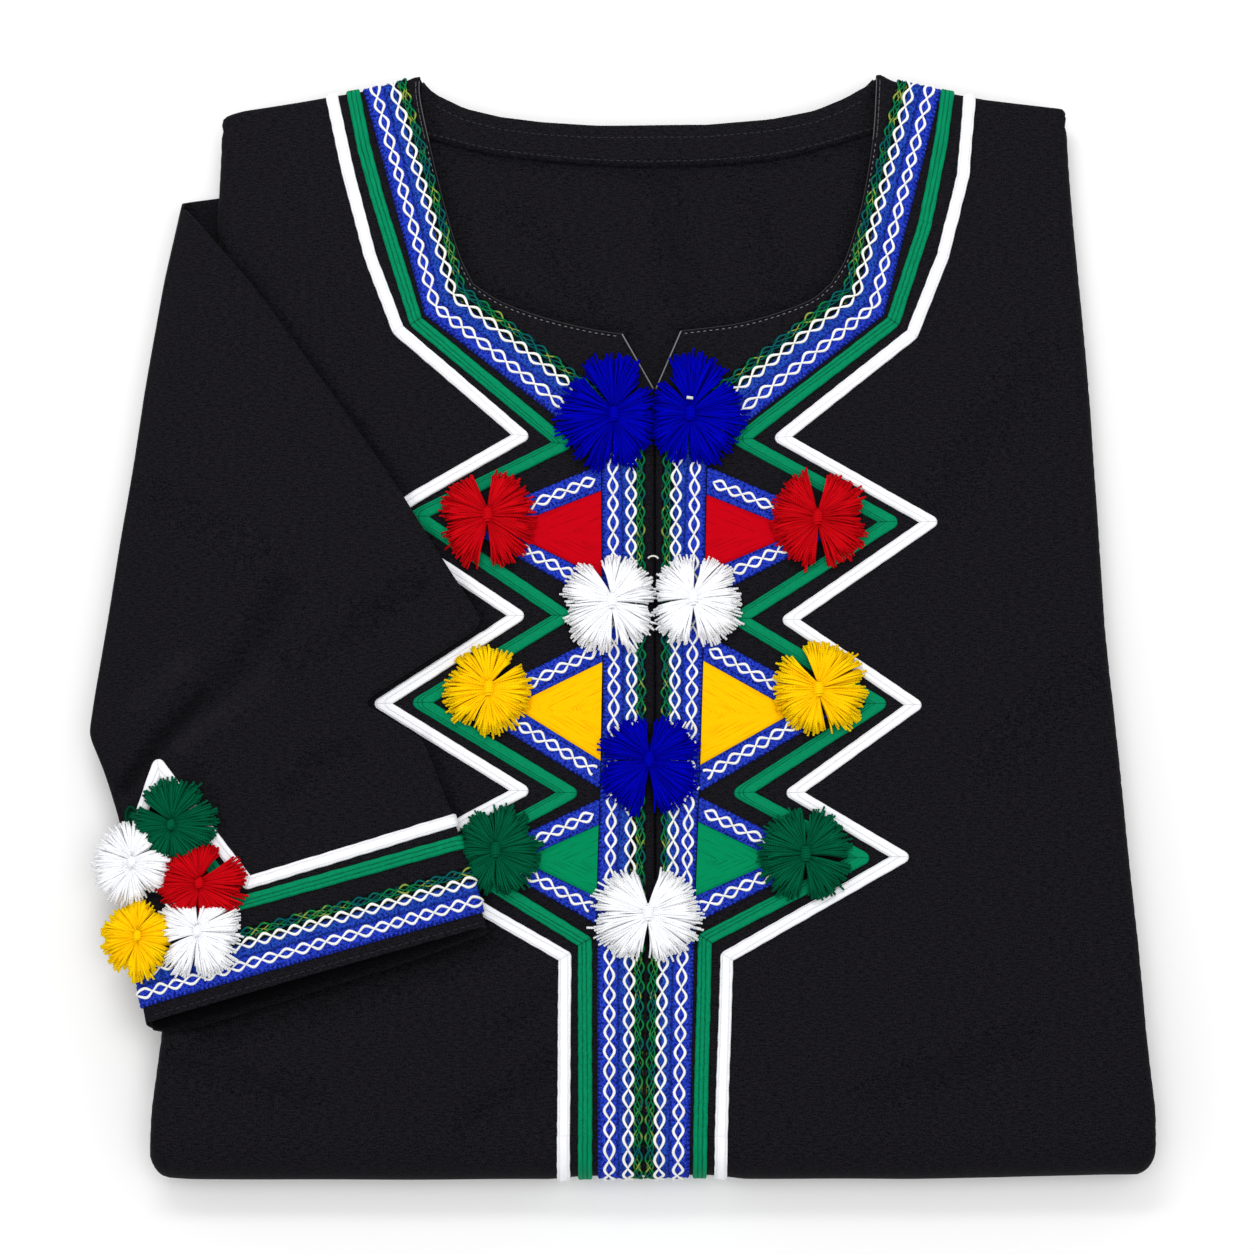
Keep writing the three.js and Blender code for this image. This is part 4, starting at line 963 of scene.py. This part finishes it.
def folded_layers():
    """The hidden skirt, sides and hem, as one stack whose folds show as rounded layers at its edges."""
    rim = layers_rim()
    rows = [layers_row(rim, k) for k in range(LAYERS * LAYER_ROWS + 1)]
    for z in (4.0, 0.0):
        foot = rows[LAYERS * LAYER_ROWS].copy()
        foot[len(rim):, 1:] = (LAYERS_START - 0.8, z)
        foot[:len(rim), 2] = 0
        rows.append(foot)
    points = np.array(rows)
    columns = points.shape[1]
    faces = [face[::-1] for face in grid_faces(len(rows), columns, closed=True)]
    faces.append(list(range(columns)))
    faces.append([(len(rows) - 1) * columns + i for i in range(columns)][::-1])
    places = points.copy()
    places[..., 0] += places[..., 1] * 0.3
    places[..., 1] = points[..., 2] * 2
    places[..., 2] = 0
    return cloth_piece("folded_layers", (points, faces, places), wall=0)


UNDER_SHARES = np.linspace(0.0, 1, 24)[:-1]  # under side, from the left to the right edge
TURN_STEPS = 8
TOP_SHARES = np.linspace(1, 0, 60)[1:]
WRAP_STEPS = 14
ROWS_BETWEEN = 14  # rows of points from one of SLEEVE_ROWS to the next
EDGE_ROUNDS = (10, 3)  # rounds of softening on the left and the right edge
WRAP_END, WRAP_FADE = -50, 12  # the sleeve goes round the body's side down to here
TIP_RISE = 10.9  # the cloth behind the sleeve's tip reaches this much further up
TIP_START, TIP_LENGTH = 150, 40  # where that begins, and over what length
TUCK = 3  # how far the wrap goes in under the body's side
WRAP_LOW = 1.5  # height of the lowest cloth of the wrap
UNDER_PACE = 1.4  # beside the cuff the edge turns this much faster, and the rest lies flat
UNDER_REACH = 6


def sleeve_sides():
    """Matched places on the sleeve's left and right edge, close together and softened."""
    count = len(SLEEVE_ROWS)
    share = np.linspace(0, count - 1, (count - 1) * ROWS_BETWEEN + 1)
    sides = []
    for k, rounds in enumerate(EDGE_ROUNDS):
        places = np.array([row[k] for row in SLEEVE_ROWS], float)
        soft = np.stack([np.interp(share, range(count), places[:, a]) for a in (0, 1)], 1)
        soften(soft, rounds)
        sides.append(soft)
    return sides


def sleeve():
    """The left sleeve: it comes round from behind the body, and its upper side runs to the cuff."""
    rows = [sleeve_row(*pair) for pair in zip(*sleeve_sides())]
    last = rows[-1]
    for past in (0.5, 1.0):
        rows.append(last + past * cuff_lap())
    points = np.array(rows)
    count = points.shape[1]
    faces = facing_up(points, grid_faces(len(rows), count), count // 2 + 20 * (count - 1))
    places = points.copy()
    places[..., 0] += points[..., 2]
    # the depth of the sleeve's creases paints shade in their troughs and a highlight on their ridges
    places[..., 2] = troughs(points[..., 0], points[..., 1], SLEEVE_CREASES)
    # painted shade darkens the cuff's mouth, with less of it on the mouth's rim, which catches the light
    shade = column(CUFF_SHADE, 0, 1, UNDER_SHARES)
    places[-4:, :len(UNDER_SHARES), 2] = shade * np.array([[1], [1], [0.9], [0.35]])
    return cloth_piece("sleeve_left", (points, faces, places), SLEEVE_WALL, ["sleeve_left_tuck"])


def sleeve_row(left, right):
    """One row of points round the sleeve: under side, right edge, upper side, left edge."""
    length = np.linalg.norm(right - left)
    radius = min(SLEEVE_ROUND, length / 3)
    across = (right - left) / length

    def at(distance):
        place = left + across * distance
        return place[0], place[1]

    points = []
    for share in UNDER_SHARES:
        x, y = at(radius + (length - 2 * radius) * share)
        points.append((x, y, float(sleeve_base(x, y)) - SLEEVE_THICK))
    for turn in np.linspace(0, math.pi, TURN_STEPS):
        x, y = at(length - radius + radius * math.sin(turn))
        z = float(sleeve_top(*at(length - radius))[2]) - SLEEVE_THICK / 2
        points.append((x, y, z - SLEEVE_THICK / 2 * math.cos(turn)))
    for share in TOP_SHARES:
        x, y = at(radius + (length - 2 * radius) * share)
        points.append(tuple(sleeve_top(x, y)))
    return np.array(points + left_edge(at, radius, left[1]))


def left_edge(at, radius, height):
    """The sleeve's left edge: it wraps round the body's side, or turns under beside the cuff."""
    x0, y0, z0 = sleeve_top(*at(radius))
    wrap = float(np.clip((height - WRAP_END) / WRAP_FADE, 0, 1))
    wrap = wrap * wrap * (3 - 2 * wrap)
    rise = TIP_RISE * float(np.clip((height - TIP_START) / TIP_LENGTH, 0, 1))
    tuck_x = float(body_left(y0)) + TUCK
    middle = z0 / 2
    points = []
    for k in range(1, WRAP_STEPS + 1):
        turn = math.pi * k / WRAP_STEPS
        own_turn = min(turn * UNDER_PACE, math.pi)
        own = np.array([
            x0 - radius * math.sin(own_turn) + UNDER_REACH * max(turn / math.pi - 0.72, 0),
            y0,
            z0 - SLEEVE_THICK / 2 * (1 - math.cos(own_turn)),
        ])
        reach = radius * math.sin(min(turn, math.pi / 2))
        if turn > math.pi / 2:
            reach = radius - (tuck_x - x0 + radius) * (1 - math.sin(turn))
        round_it = np.array([
            x0 - reach,
            y0 + rise * turn / math.pi,
            WRAP_LOW + middle + (z0 - WRAP_LOW - middle) * math.cos(turn),
        ])
        points.append(tuple(own + (round_it - own) * wrap))
    return points


def cuff_lap():
    """How far each point of the cuff's last row moves down, so that the under side shows past it."""
    under = column(CUFF_LAP, 0, 1, UNDER_SHARES)
    turn = under[-1] * (1 + np.cos(np.linspace(0, math.pi, TURN_STEPS))) / 2
    top = np.zeros(len(TOP_SHARES))
    wrap = CUFF_LAP[0][1] * (1 - np.cos(np.linspace(0, math.pi, WRAP_STEPS + 1)[1:])) / 2
    amount = np.concatenate([under, turn, top, wrap])[:, None]
    return amount * np.array([CUFF_SLOPE, -1, -0.12])


# ---- tapes, braids, frames and patches ----
MITRE_COSINE = 0.985  # a corner that bends more than this has a mitred fold


def tape_rows(path, width, step):
    """Matched places on both edges of a tape, and each row's distance from a mitred corner."""
    points = np.array(path, float)
    along = unit(np.diff(points, axis=0))
    normals = np.column_stack([along[:, 1], -along[:, 0]])
    before = np.concatenate([normals[:1], normals])
    after = np.concatenate([normals, normals[-1:]])
    sharp = (before * after).sum(1) < MITRE_COSINE
    mitres = unit(before + after)
    mitres *= width / 2 / (mitres * after).sum(1, keepdims=True)
    left, right, marks = [], [], []
    for i, (a, b) in enumerate(zip(points, points[1:])):
        length = np.linalg.norm(b - a)
        parts = max(2, math.ceil(length / step))
        for k in range(parts + (i == len(points) - 2)):
            share = k / parts
            middle = a + (b - a) * share
            mitre = mitres[i] + (mitres[i + 1] - mitres[i]) * share
            left.append(round_off(middle + mitre, a, b, width / 2))
            right.append(round_off(middle - mitre, a, b, width / 2))
            from_start = share * length if sharp[i] else FAR
            from_end = (1 - share) * length if sharp[i + 1] else FAR
            marks.append(min(from_start, from_end))
    return np.array(left), np.array(right), np.array(marks)


def round_off(place, start, end, radius):
    """Draw an edge place that lies beyond a corner of the tape in to a round tip."""
    along = end - start
    for corner, beyond in ((start, -1), (end, 1)):
        away = place - corner
        distance = np.linalg.norm(away)
        if beyond * away.dot(along) > 0 and distance > radius:
            place = corner + away * (radius / distance)
    return place


TRIM_OVER = 3.4  # how far the trim goes on past the shoulder
TRIM_TURN = math.radians(150)  # how far it goes round the bottom fold
TRIM_STEPS = 24


def whole_path(path):
    """A path with its stretches over the shoulder and round the bottom fold added."""
    (x0, y0), (x1, y1) = path[:2]
    slope = (x0 - x1) / (y0 - y1)
    end_x = path[-1][0]
    turns = np.linspace(0, TRIM_TURN, TRIM_STEPS + 1)[1:]
    fold = [(end_x, FOLD_Y - FOLD_RADIUS * turn) for turn in turns]
    return [(x0 + slope * TRIM_OVER, y0 + TRIM_OVER), *path, *fold]


# profiles across a trim: share of its width, height
TAPE_PROFILE = [
    (0, 0.1), (0.02, 1.05), (0.1, 1.5), (0.3, 1.455), (0.5, 1.425), (0.7, 1.455), (0.9, 1.5),
    (0.98, 1.05), (1, 0.1),
]
TAPE_KINDS = {"white": (WHITE_TAPE, WHITE_FINISH), "green": (GREEN_TAPE, GREEN_FINISH)}
TAPE_STEP = 1.2
TAPE_WANDER = 0.16  # how far a tape's edges stray from straight


def tape(name, path, surface):
    colour = "white" if "white" in name else "green"
    width, material = TAPE_KINDS[colour]
    left, right, marks = tape_rows(path, width, TAPE_STEP)
    across = unit(left - right) * TAPE_WANDER
    left = left + across * ripple(left[:, :1], left[:, 1:], 7, 5)
    right = right + across * ripple(right[:, :1], right[:, 1:], 8, 3)
    part = ribbon(left, right, surface, TAPE_PROFILE, marks)
    make_piece(name, [part], material)


BRAID_PROFILE = [
    (0, 0.1), (0.012, 0.9), (0.04, 1.25), (0.09, 1.0), (0.13, 1.2), (0.3, 1.3), (0.43, 1.25),
    (0.47, 0.95), (0.51, 1.25), (0.62, 1.3), (0.76, 1.2), (0.8, 0.95), (0.9, 1.0), (0.96, 1.0),
    (0.99, 0.8), (1, 0.1),
]
BAR_PROFILE = [
    (0, 0.1), (0.02, 0.9), (0.06, 1.25), (0.14, 1.0), (0.2, 1.2), (0.5, 1.3), (0.8, 1.2),
    (0.86, 1.0), (0.94, 1.25), (0.98, 0.9), (1, 0.1),
]
CHAIN_SHARES = (0.26, 0.68)  # where the two cream chains lie across a braid
CREAM_LIFT = BRAID_HEIGHT - 0.1
BAR_CHAIN_LIFT = BRAID_HEIGHT - 0.15
DYED_CHAINS = [(0.895, 1.9, 0.44, 0.4), (0.875, 1.2, 0.3, 2.0)]  # share, half width, radius, phase
DYED_LIFT = 0.9
CHAIN_PITCH = 8.35
DYED_PITCH = 8.1
SHORT_PITCH = 7.0  # of the chains on the cuff and the frames
CHAIN_HALF = 2.05
CHAIN_RADIUS = 0.65
BRAID_STEP, BAR_STEP, CUFF_STEP = 2.2, 1.6, 1.0  # spacing of the rows along each


def braid_rows(pairs, step):
    """Places on both edges of a braid, matched and close together."""
    corners = np.array(pairs, float)
    rows = []
    for i, (start, end) in enumerate(zip(corners, corners[1:])):
        parts = max(2, math.ceil(math.dist(start[0], end[0]) / step))
        for k in range(parts + (i == len(corners) - 2)):
            rows.append(start + (end - start) * k / parts)
    rows = np.array(rows)
    return rows[:, 0], rows[:, 1]


def braid(name, where, pairs, surface, step, cream_pitch, dyed_pitch):
    """A blue braid with its two cream chains and the dyed threads of its inner band."""
    rows_a, rows_b = braid_rows(pairs, step)
    part = ribbon(rows_a, rows_b, surface, BRAID_PROFILE)
    make_piece(name, [part], BRAID_FINISH)
    cream, dyed = [], []
    for i, share in enumerate(CHAIN_SHARES):
        path = share_path(rows_a, rows_b, share)
        cream.append(chain(path, surface, CREAM_LIFT, cream_pitch, phase=0.8 * i))
    make_piece(f"cream_chains_{where}", cream, CHAIN_FINISH)
    for share, half, radius, phase in DYED_CHAINS:
        path = share_path(rows_a, rows_b, share)
        dyed.append(chain(path, surface, DYED_LIFT, dyed_pitch, half, radius, phase))
    make_piece(f"dyed_chains_{where}", dyed, DYED_FINISH)


def neck_braid(side, pairs):
    edges = [whole_path([pair[k] for pair in pairs]) for k in (0, 1)]
    pairs = list(zip(*edges))
    braid(f"blue_braid_{side}", side, pairs, front, BRAID_STEP, CHAIN_PITCH, DYED_PITCH)


def cuff_braid():
    braid("cuff_blue_braid", "cuff", CUFF_BRAID, on_sleeve, CUFF_STEP, SHORT_PITCH, SHORT_PITCH)


def chain(path, surface, lift, pitch, half=CHAIN_HALF, radius=CHAIN_RADIUS, phase=0.0):
    """Two threads that cross and part along a path, as in a braided chain."""
    line = resample(path, 0.5)
    along = distances(line)
    soften(line, 12)
    at = np.arange(0, along[-1], pitch / 10)
    x, y = np.interp(at, along, line[:, 0]), np.interp(at, along, line[:, 1])
    ahead = unit(np.stack([np.gradient(x), np.gradient(y)], -1))
    # hand-made: the width, the pitch and each thread's swing vary a little
    uneven = 1 + 0.14 * ripple(at, at * 0, 23, phase)
    turns = math.pi * at / pitch + phase + 0.4 * ripple(at, at * 0, 47, phase + 1)
    rows = []
    for side in (1, -1):
        turn = turns + side * 0.16 * ripple(at, at * 0, 19, phase + side)
        wave = np.sin(turn)
        swing = side * half * uneven * wave * (0.55 + 0.45 * np.abs(wave))
        over = lift + radius * 0.55 + side * radius * 0.5 * np.cos(turn) * np.sign(np.cos(turn / 2))
        thick = radius * (0.6 + 0.42 * np.abs(wave))
        rows.append((x - ahead[:, 1] * swing, y + ahead[:, 0] * swing, over, thick))
    x, y, over, thick = np.array(rows).transpose(1, 0, 2)
    points, faces, places = laid(x, y, over, surface, thick, 6)
    places[..., 2] = 0.75 + 0.2 * np.sin(places[..., 0] * 0.3)
    return points, faces, places


def share_path(rows_a, rows_b, share):
    return rows_a + (rows_b - rows_a) * share


def braid_edge_x(side, y):
    """x of the outer edge of the centre braid on one side (-1 left, 1 right)."""
    table = (BRAID_LEFT if side < 0 else BRAID_RIGHT)[3:]
    rows = sorted((pair[0][1], pair[0][0]) for pair in table)
    return float(column(rows, 0, 1, y)) + side * 0.3


def pointed_frame(name):
    """Two blue bars with a chain each, from the braid to a point."""
    side, outer, inner, point, apex = FRAMES[name]
    bars, chains = [], []
    for end, tip in ((0, FRAME_TIP), (1, -FRAME_TIP)):
        start = [(braid_edge_x(side, y), y) for y in (outer[end], inner[end])]
        rows_a, rows_b = braid_rows([start, [(point[0], point[1] + tip), apex]], BAR_STEP)
        bars.append(ribbon(rows_a, rows_b, front, BAR_PROFILE))
        middle = share_path(rows_a, rows_b, 0.5)[2:-4]
        chains.append(chain(middle, front, BAR_CHAIN_LIFT, SHORT_PITCH, phase=1.1 * end))
    make_piece(f"frame_{name}", bars, BAR_FINISH)
    make_piece(f"frame_chains_{name}", chains, CHAIN_FINISH)


PATCH_SPACING = 1.1
PATCH_SWELL = 1.2  # a patch rises to its full height within this distance of its edge
PATCH_EDGE, PATCH_RISE = 0.35, 0.75
ROW_PERIOD, ROW_RELIEF = 1.7, 0.05  # the rows of satin stitch
HALVES_APART = 40  # so that the two halves don't share the places of their threads


def satin_patch(name):
    """A triangle of satin stitch; its threads follow the nearer slanting edge."""
    side, _, inner, _, apex = FRAMES[name]
    corners = [(braid_edge_x(side, y), y) for y in inner]
    triangle = [*corners, apex]
    if not turns_left(triangle):
        triangle = triangle[::-1]
    _, faces, places = panel(triangle, PATCH_SPACING, front)
    x, y = places[:, 0], places[:, 1]
    away = np.full(len(x), np.inf)
    for corner in corners:
        ex, ey = apex[0] - corner[0], apex[1] - corner[1]
        distance = np.abs((x - corner[0]) * ey - (y - corner[1]) * ex) / math.hypot(ex, ey)
        away = np.minimum(away, distance)
    swell = np.clip(away / PATCH_SWELL, 0, 1)
    row = ROW_RELIEF * np.sin(away * 2 * math.pi / ROW_PERIOD)
    points = front(x, y, PATCH_EDGE + (PATCH_RISE + row) * swell)
    along = np.abs(x) + (y > sum(inner) / 2) * HALVES_APART
    part = (points, faces, np.column_stack([away, along, np.zeros(len(x))]))
    colour = name.split("_")[0]
    make_piece(f"patch_{name}", [part], SATIN[colour])


# ---- pompoms ----
STRANDS = 430
STRAND_POINTS = 6
YARN_RADIUS = 0.5
GOLDEN_ANGLE = 2.399963
PRESS = 2.2  # pompoms that lie against each other reach this far past halfway
TUFT_LENGTHS = (0.91, 1.06)  # shares of the reach
STRAND_LENGTHS = (0.88, 1.04)  # and of the tuft's own length
FLATTEN = 2.4  # how far the strands start above and below the centre, along the knot
TUFT = 0.11  # spacing in radians of the tufts that the strands' ends gather into
KNOTS = {front: (2.1, 3.7), sleeve_top: (1.7, 2.2)}  # half width and height, by what they lie on
LOBE = math.radians(55)  # strands within this of a gap are pushed out of it


def lobes(angle, gaps):
    """Strand directions, pushed out of the gaps, and how much each falls short beside one."""
    short = np.zeros(len(angle))
    for degrees, half in gaps:
        middle, width = math.radians(degrees), math.radians(half)
        off = (angle - middle + math.pi) % (2 * math.pi) - math.pi
        side = np.where(off < 0, -1.0, 1.0)
        pushed = side * (width + np.abs(off) * (1 - width / LOBE))
        off = np.where(np.abs(off) < LOBE, pushed, off)
        angle = middle + off
        short = np.maximum(short, 0.16 * np.exp(-((off / 0.2) ** 2)))
    return angle, short


def reach_along(spec, others, angle):
    """A pompom's reach in a direction, cut back where a neighbour lies against it."""
    _, cx, cy, left, right, up, down, _ = spec
    c, s = np.cos(angle), np.sin(angle)
    reach = 1 / np.hypot(c / np.where(c > 0, right, left), s / np.where(s > 0, up, down))
    for _, ox, oy, *_ in others:
        distance = math.hypot(ox - cx, oy - cy)
        towards = ((ox - cx) * c + (oy - cy) * s) / distance
        limit = (distance / 2 + PRESS) / np.maximum(towards, 0.1)
        limit = np.where(towards > 0.1, limit, np.inf)
        reach = np.minimum(reach, limit)
    return reach


def pompom(name, spec, group, surface, seed):
    """Cut yarn that fans out from a bound knot, in layers from flat to raised."""
    rng = np.random.default_rng(seed)
    colour, cx, cy = spec[:3]
    others = [other for key, other in group.items() if key != name]
    angle = (np.arange(STRANDS) * GOLDEN_ANGLE + rng.normal(0, 0.05, STRANDS)) % (2 * math.pi)
    angle, short = lobes(angle, spec[7])
    level = (np.arange(STRANDS) + rng.uniform(0, 1, STRANDS)) / STRANDS
    reach = reach_along(spec, others, angle) * (1 - short)
    tuft = np.round(angle / TUFT + 3 * level).astype(int)
    gather = (tuft - 3 * level) * TUFT - angle
    longer = rng.uniform(*TUFT_LENGTHS, tuft.max() + 1)[tuft]
    tip = reach * (1.05 - 0.16 * level**2) * longer * rng.uniform(*STRAND_LENGTHS, STRANDS)
    root = rng.uniform(0.4, 1.4, STRANDS)
    tip_up = 1.9 + 0.5 * rng.uniform(0, 1, STRANDS) + 4.6 * level**1.4
    root_up = 2.8 + 4.8 * level
    bow = 1.9 * np.sin(math.pi * level) + rng.uniform(0.2, 1.2, STRANDS)
    side = 0.7 * gather + rng.normal(0, 0.035, STRANDS)
    share = np.linspace(0, 1, STRAND_POINTS)[None, :]
    radius = root[:, None] + (tip - root)[:, None] * share
    bearing = angle[:, None] + side[:, None] * share**2
    x = cx + radius * np.cos(bearing)
    y = cy + (radius + FLATTEN * (1 - share)) * np.sin(bearing)
    up = root_up[:, None] + (tip_up - root_up)[:, None] * share + bow[:, None] * np.sin(math.pi * share)
    lines = surface(x, y, up)
    ups = np.broadcast_to(np.array([0.0, 0.0, 1.0]), lines.shape)
    thick = YARN_RADIUS * (0.8 + 0.25 * share) * rng.uniform(0.85, 1.1, STRANDS)[:, None]
    part = tubes(lines, ups, thick, 5)
    # each strand has a tone of its own at random, and painted shade makes it darker towards its root, where
    # the strands crowd
    part[2][..., 2] = rng.uniform(0.5, 1.0, STRANDS)[:, None, None] * (0.55 + 0.45 * share[..., None])
    knot = pompom_knot(cx, cy, surface)
    make_piece(f"pompom_{name}", [part, knot], YARN[colour])


def pompom_knot(cx, cy, surface):
    """Yarn wound round the middle of a pompom, side by side."""
    half_x, half_y = KNOTS[surface]
    rows = np.linspace(-half_y, half_y, 8)[:, None]
    turn = np.linspace(0, math.pi, 7)[None, :]
    width = half_x * np.sqrt(np.clip(1.15 - (rows / half_y) ** 2, 0.1, 1))
    x = cx + width * np.cos(turn)
    y = cy + rows + 0.25 * np.cos(turn)
    lines = surface(x, y, 5.8 + 3.6 * np.sin(turn) * width / half_x)
    ups = np.broadcast_to(np.array([0.0, 1.0, 0.15]), lines.shape)
    part = tubes(lines, ups, np.full(lines.shape[:2], 0.62), 6)
    part[2][..., 2] = 0.7
    return part


# ---- seams and small threads ----
STITCH_RADIUS = 0.2


def thread(path, surface, radius, lift):
    """One thread laid along a path."""
    x, y = resample(path, 1.0).T
    return laid(x[None], y[None], lift, surface, radius)


def beside(path, distance, step=1.0):
    """A path drawn beside another, to its left where the distance is positive."""
    line = resample(path, step)
    ahead = unit(np.gradient(line, axis=0))
    return [tuple(p) for p in line + np.stack([-ahead[:, 1], ahead[:, 0]], 1) * distance]


def neck_threads():
    """The thin edge and the topstitching round the neckline, lighter down the V."""
    edges, rows, bright = [], [], []
    for path, side in ((NECK_LEFT, -1), (NECK_RIGHT, 1)):
        upper, lower, foot = path[2:13], path[12:-1], path[-2:]
        edges.append(thread(upper, front, 0.24, 0.15))
        edges.append(stitches(beside(upper, side * 1.5), front, 2.6, 0.5, STITCH_RADIUS, 0.12))
        rows.append(thread(lower, front, 0.22, 0.1))
        bright.append(thread(foot, front, 0.34, 0.2))
        bright.append(stitches(beside(lower, side * 1.3), front, 1.2, 1.6, STITCH_RADIUS, 0.15))
    make_piece("neck_edge_thread", edges, PALE_STITCH_FINISH)
    make_piece("neck_topstitch", rows, DARK_STITCH_FINISH)
    make_piece("neck_light_thread", bright, EDGE_FINISH)


def facing_stitches():
    """Two rows of topstitching, along the upper and the lower edge of the facing."""
    upper = neck_edge(-5.4, -98, 95)
    lower = [(x, y + 2.3) for x, y in smooth(FACING_EDGE)]
    rows = [stitches(path, back, 1.9, 1.1, STITCH_RADIUS, FACING_LIFT) for path in (upper, lower)]
    make_piece("facing_stitches", rows, DARK_STITCH_FINISH)


def cuff_stitches():
    """Topstitching along the cuff's hem."""
    left, right = SLEEVE_ROWS[-1]
    path = [(left[0] + 3, left[1] + 3.2), (right[0] - 3, right[1] + 1.2)]
    make_piece("cuff_topstitch", [stitches(path, on_sleeve, 1.9, 1.2, 0.16, 0.03)], DARK_STITCH_FINISH)


FRAYED_ENDS = [  # ends of the cream chains on the blue pompom at the centre
    (-16.2, -45.1, -14.6, -47.2), (-18.0, -48.5, -17.1, -49.7), (-8.8, -43.3, -8.5, -45.0),
    (-6.4, -42.9, -5.3, -46.5), (5.2, -44.4, 6.3, -42.2), (8.6, -44.7, 9.1, -43.3),
    (13.2, -45.6, 14.8, -42.9), (17.0, -46.5, 17.7, -44.0), (14.5, -47.4, 15.0, -48.3),
    (18.6, -51.5, 19.0, -52.5), (19.6, -73.1, 20.5, -71.8), (-18.4, -75.6, -17.5, -75.1),
]


def stray_loop():
    """A loop of green yarn that stands out beside the cuff's green pompom."""
    turns = np.linspace(math.radians(-60), math.radians(250), 15)
    outer = [(-226.9 + 2.2 * math.cos(a), -84.2 + 3.6 * math.sin(a)) for a in turns]
    inner = [(-227 + 0.9 * math.cos(a), -84.7 + 2.2 * math.sin(a)) for a in turns]
    loop = thread([(-221, -88.5), *outer, (-221.5, -90)], sleeve_top, 0.75, 2.6)
    make_piece("stray_yarn_loop", [loop, thread(inner, sleeve_top, 0.7, 1.4)], YARN["green"])


def loose_threads():
    """Small ends of cream thread that lie on the trim and on the pompoms."""
    turn = np.linspace(0.2, math.pi - 0.3, 9)
    arc = [(0.5 + 2.3 * math.cos(a), 30 + 1.6 * math.sin(a)) for a in turn]
    speck = [(15.4, 101.9), (18.2, 101.5)]
    parts = [thread(arc, front, 0.45, 1.8), thread(speck, front, 0.7, 9.6)]
    parts += [thread([(x0, y0), (x1, y1)], front, 0.42, 4.4) for x0, y0, x1, y1 in FRAYED_ENDS]
    make_piece("loose_threads", parts, CHAIN_FINISH)


# ---- putting it together ----
def build():
    """All pieces of the dress; the pieces of cloth are returned."""
    cloth = [front_panel(), back_panel(), back_neck_facing(), folded_layers(), sleeve()]
    for name, path in TAPES.items():
        tape(name, whole_path(path), front)
    neck_braid("left", BRAID_LEFT)
    neck_braid("right", BRAID_RIGHT)
    for name in FRAMES:
        pointed_frame(name)
        satin_patch(name)
    for name, path in CUFF_TAPES.items():
        tape(name, path, on_sleeve)
    cuff_braid()
    seed = 10
    for group, surface in ((FRONT_POMPOMS, front), (CUFF_POMPOMS, sleeve_top)):
        for name, spec in group.items():
            pompom(name, spec, group, surface, seed)
            seed += 1
    neck_threads()
    facing_stitches()
    cuff_stitches()
    loose_threads()
    stray_loop()
    return cloth


# ---- floor and light ----
FLOOR_SIZE = 6
FLOOR_DROP = 0.0004  # keeps the floor's face clear of the dress's underside
WORLD_STRENGTH = 0.68
LAMPS = {"key": ((-0.35, 1.3, 1.9), 1.3, 41), "fill": ((0.3, -0.5, 2.6), 2.2, 26)}  # place, size, power


def add_floor():
    bpy.ops.mesh.primitive_plane_add(size=FLOOR_SIZE, location=(0, 0, -FLOOR_DROP))
    floor = bpy.context.object
    floor.name = "floor"
    material = bpy.data.materials.new("floor_paper")
    material.use_nodes = True
    shader = material.node_tree.nodes["Principled BSDF"]
    shader.inputs["Base Color"].default_value = (0.93, 0.93, 0.93, 1)
    shader.inputs["Roughness"].default_value = 0.9
    floor.data.materials.append(material)


def add_light(name, place, size, power):
    data = bpy.data.lights.new(name, "AREA")
    data.shape = "DISK"
    data.size = size
    data.energy = power
    lamp = add_object(name, data)
    lamp.location = place
    x, y, z = place
    # it looks at the middle of the dress
    lamp.rotation_euler = (math.atan2(math.hypot(x, y), z), 0, math.atan2(-x, y))


def add_lights():
    """A white room and two large soft lamps."""
    world = bpy.data.worlds.new("studio")
    world.use_nodes = True
    background = world.node_tree.nodes["Background"]
    background.inputs["Color"].default_value = (1, 1, 1, 1)
    background.inputs["Strength"].default_value = WORLD_STRENGTH
    bpy.context.scene.world = world
    for name, (place, size, power) in LAMPS.items():
        add_light(name, place, size, power)
    bpy.context.scene.view_settings.view_transform = "Standard"


build()
add_floor()
add_lights()
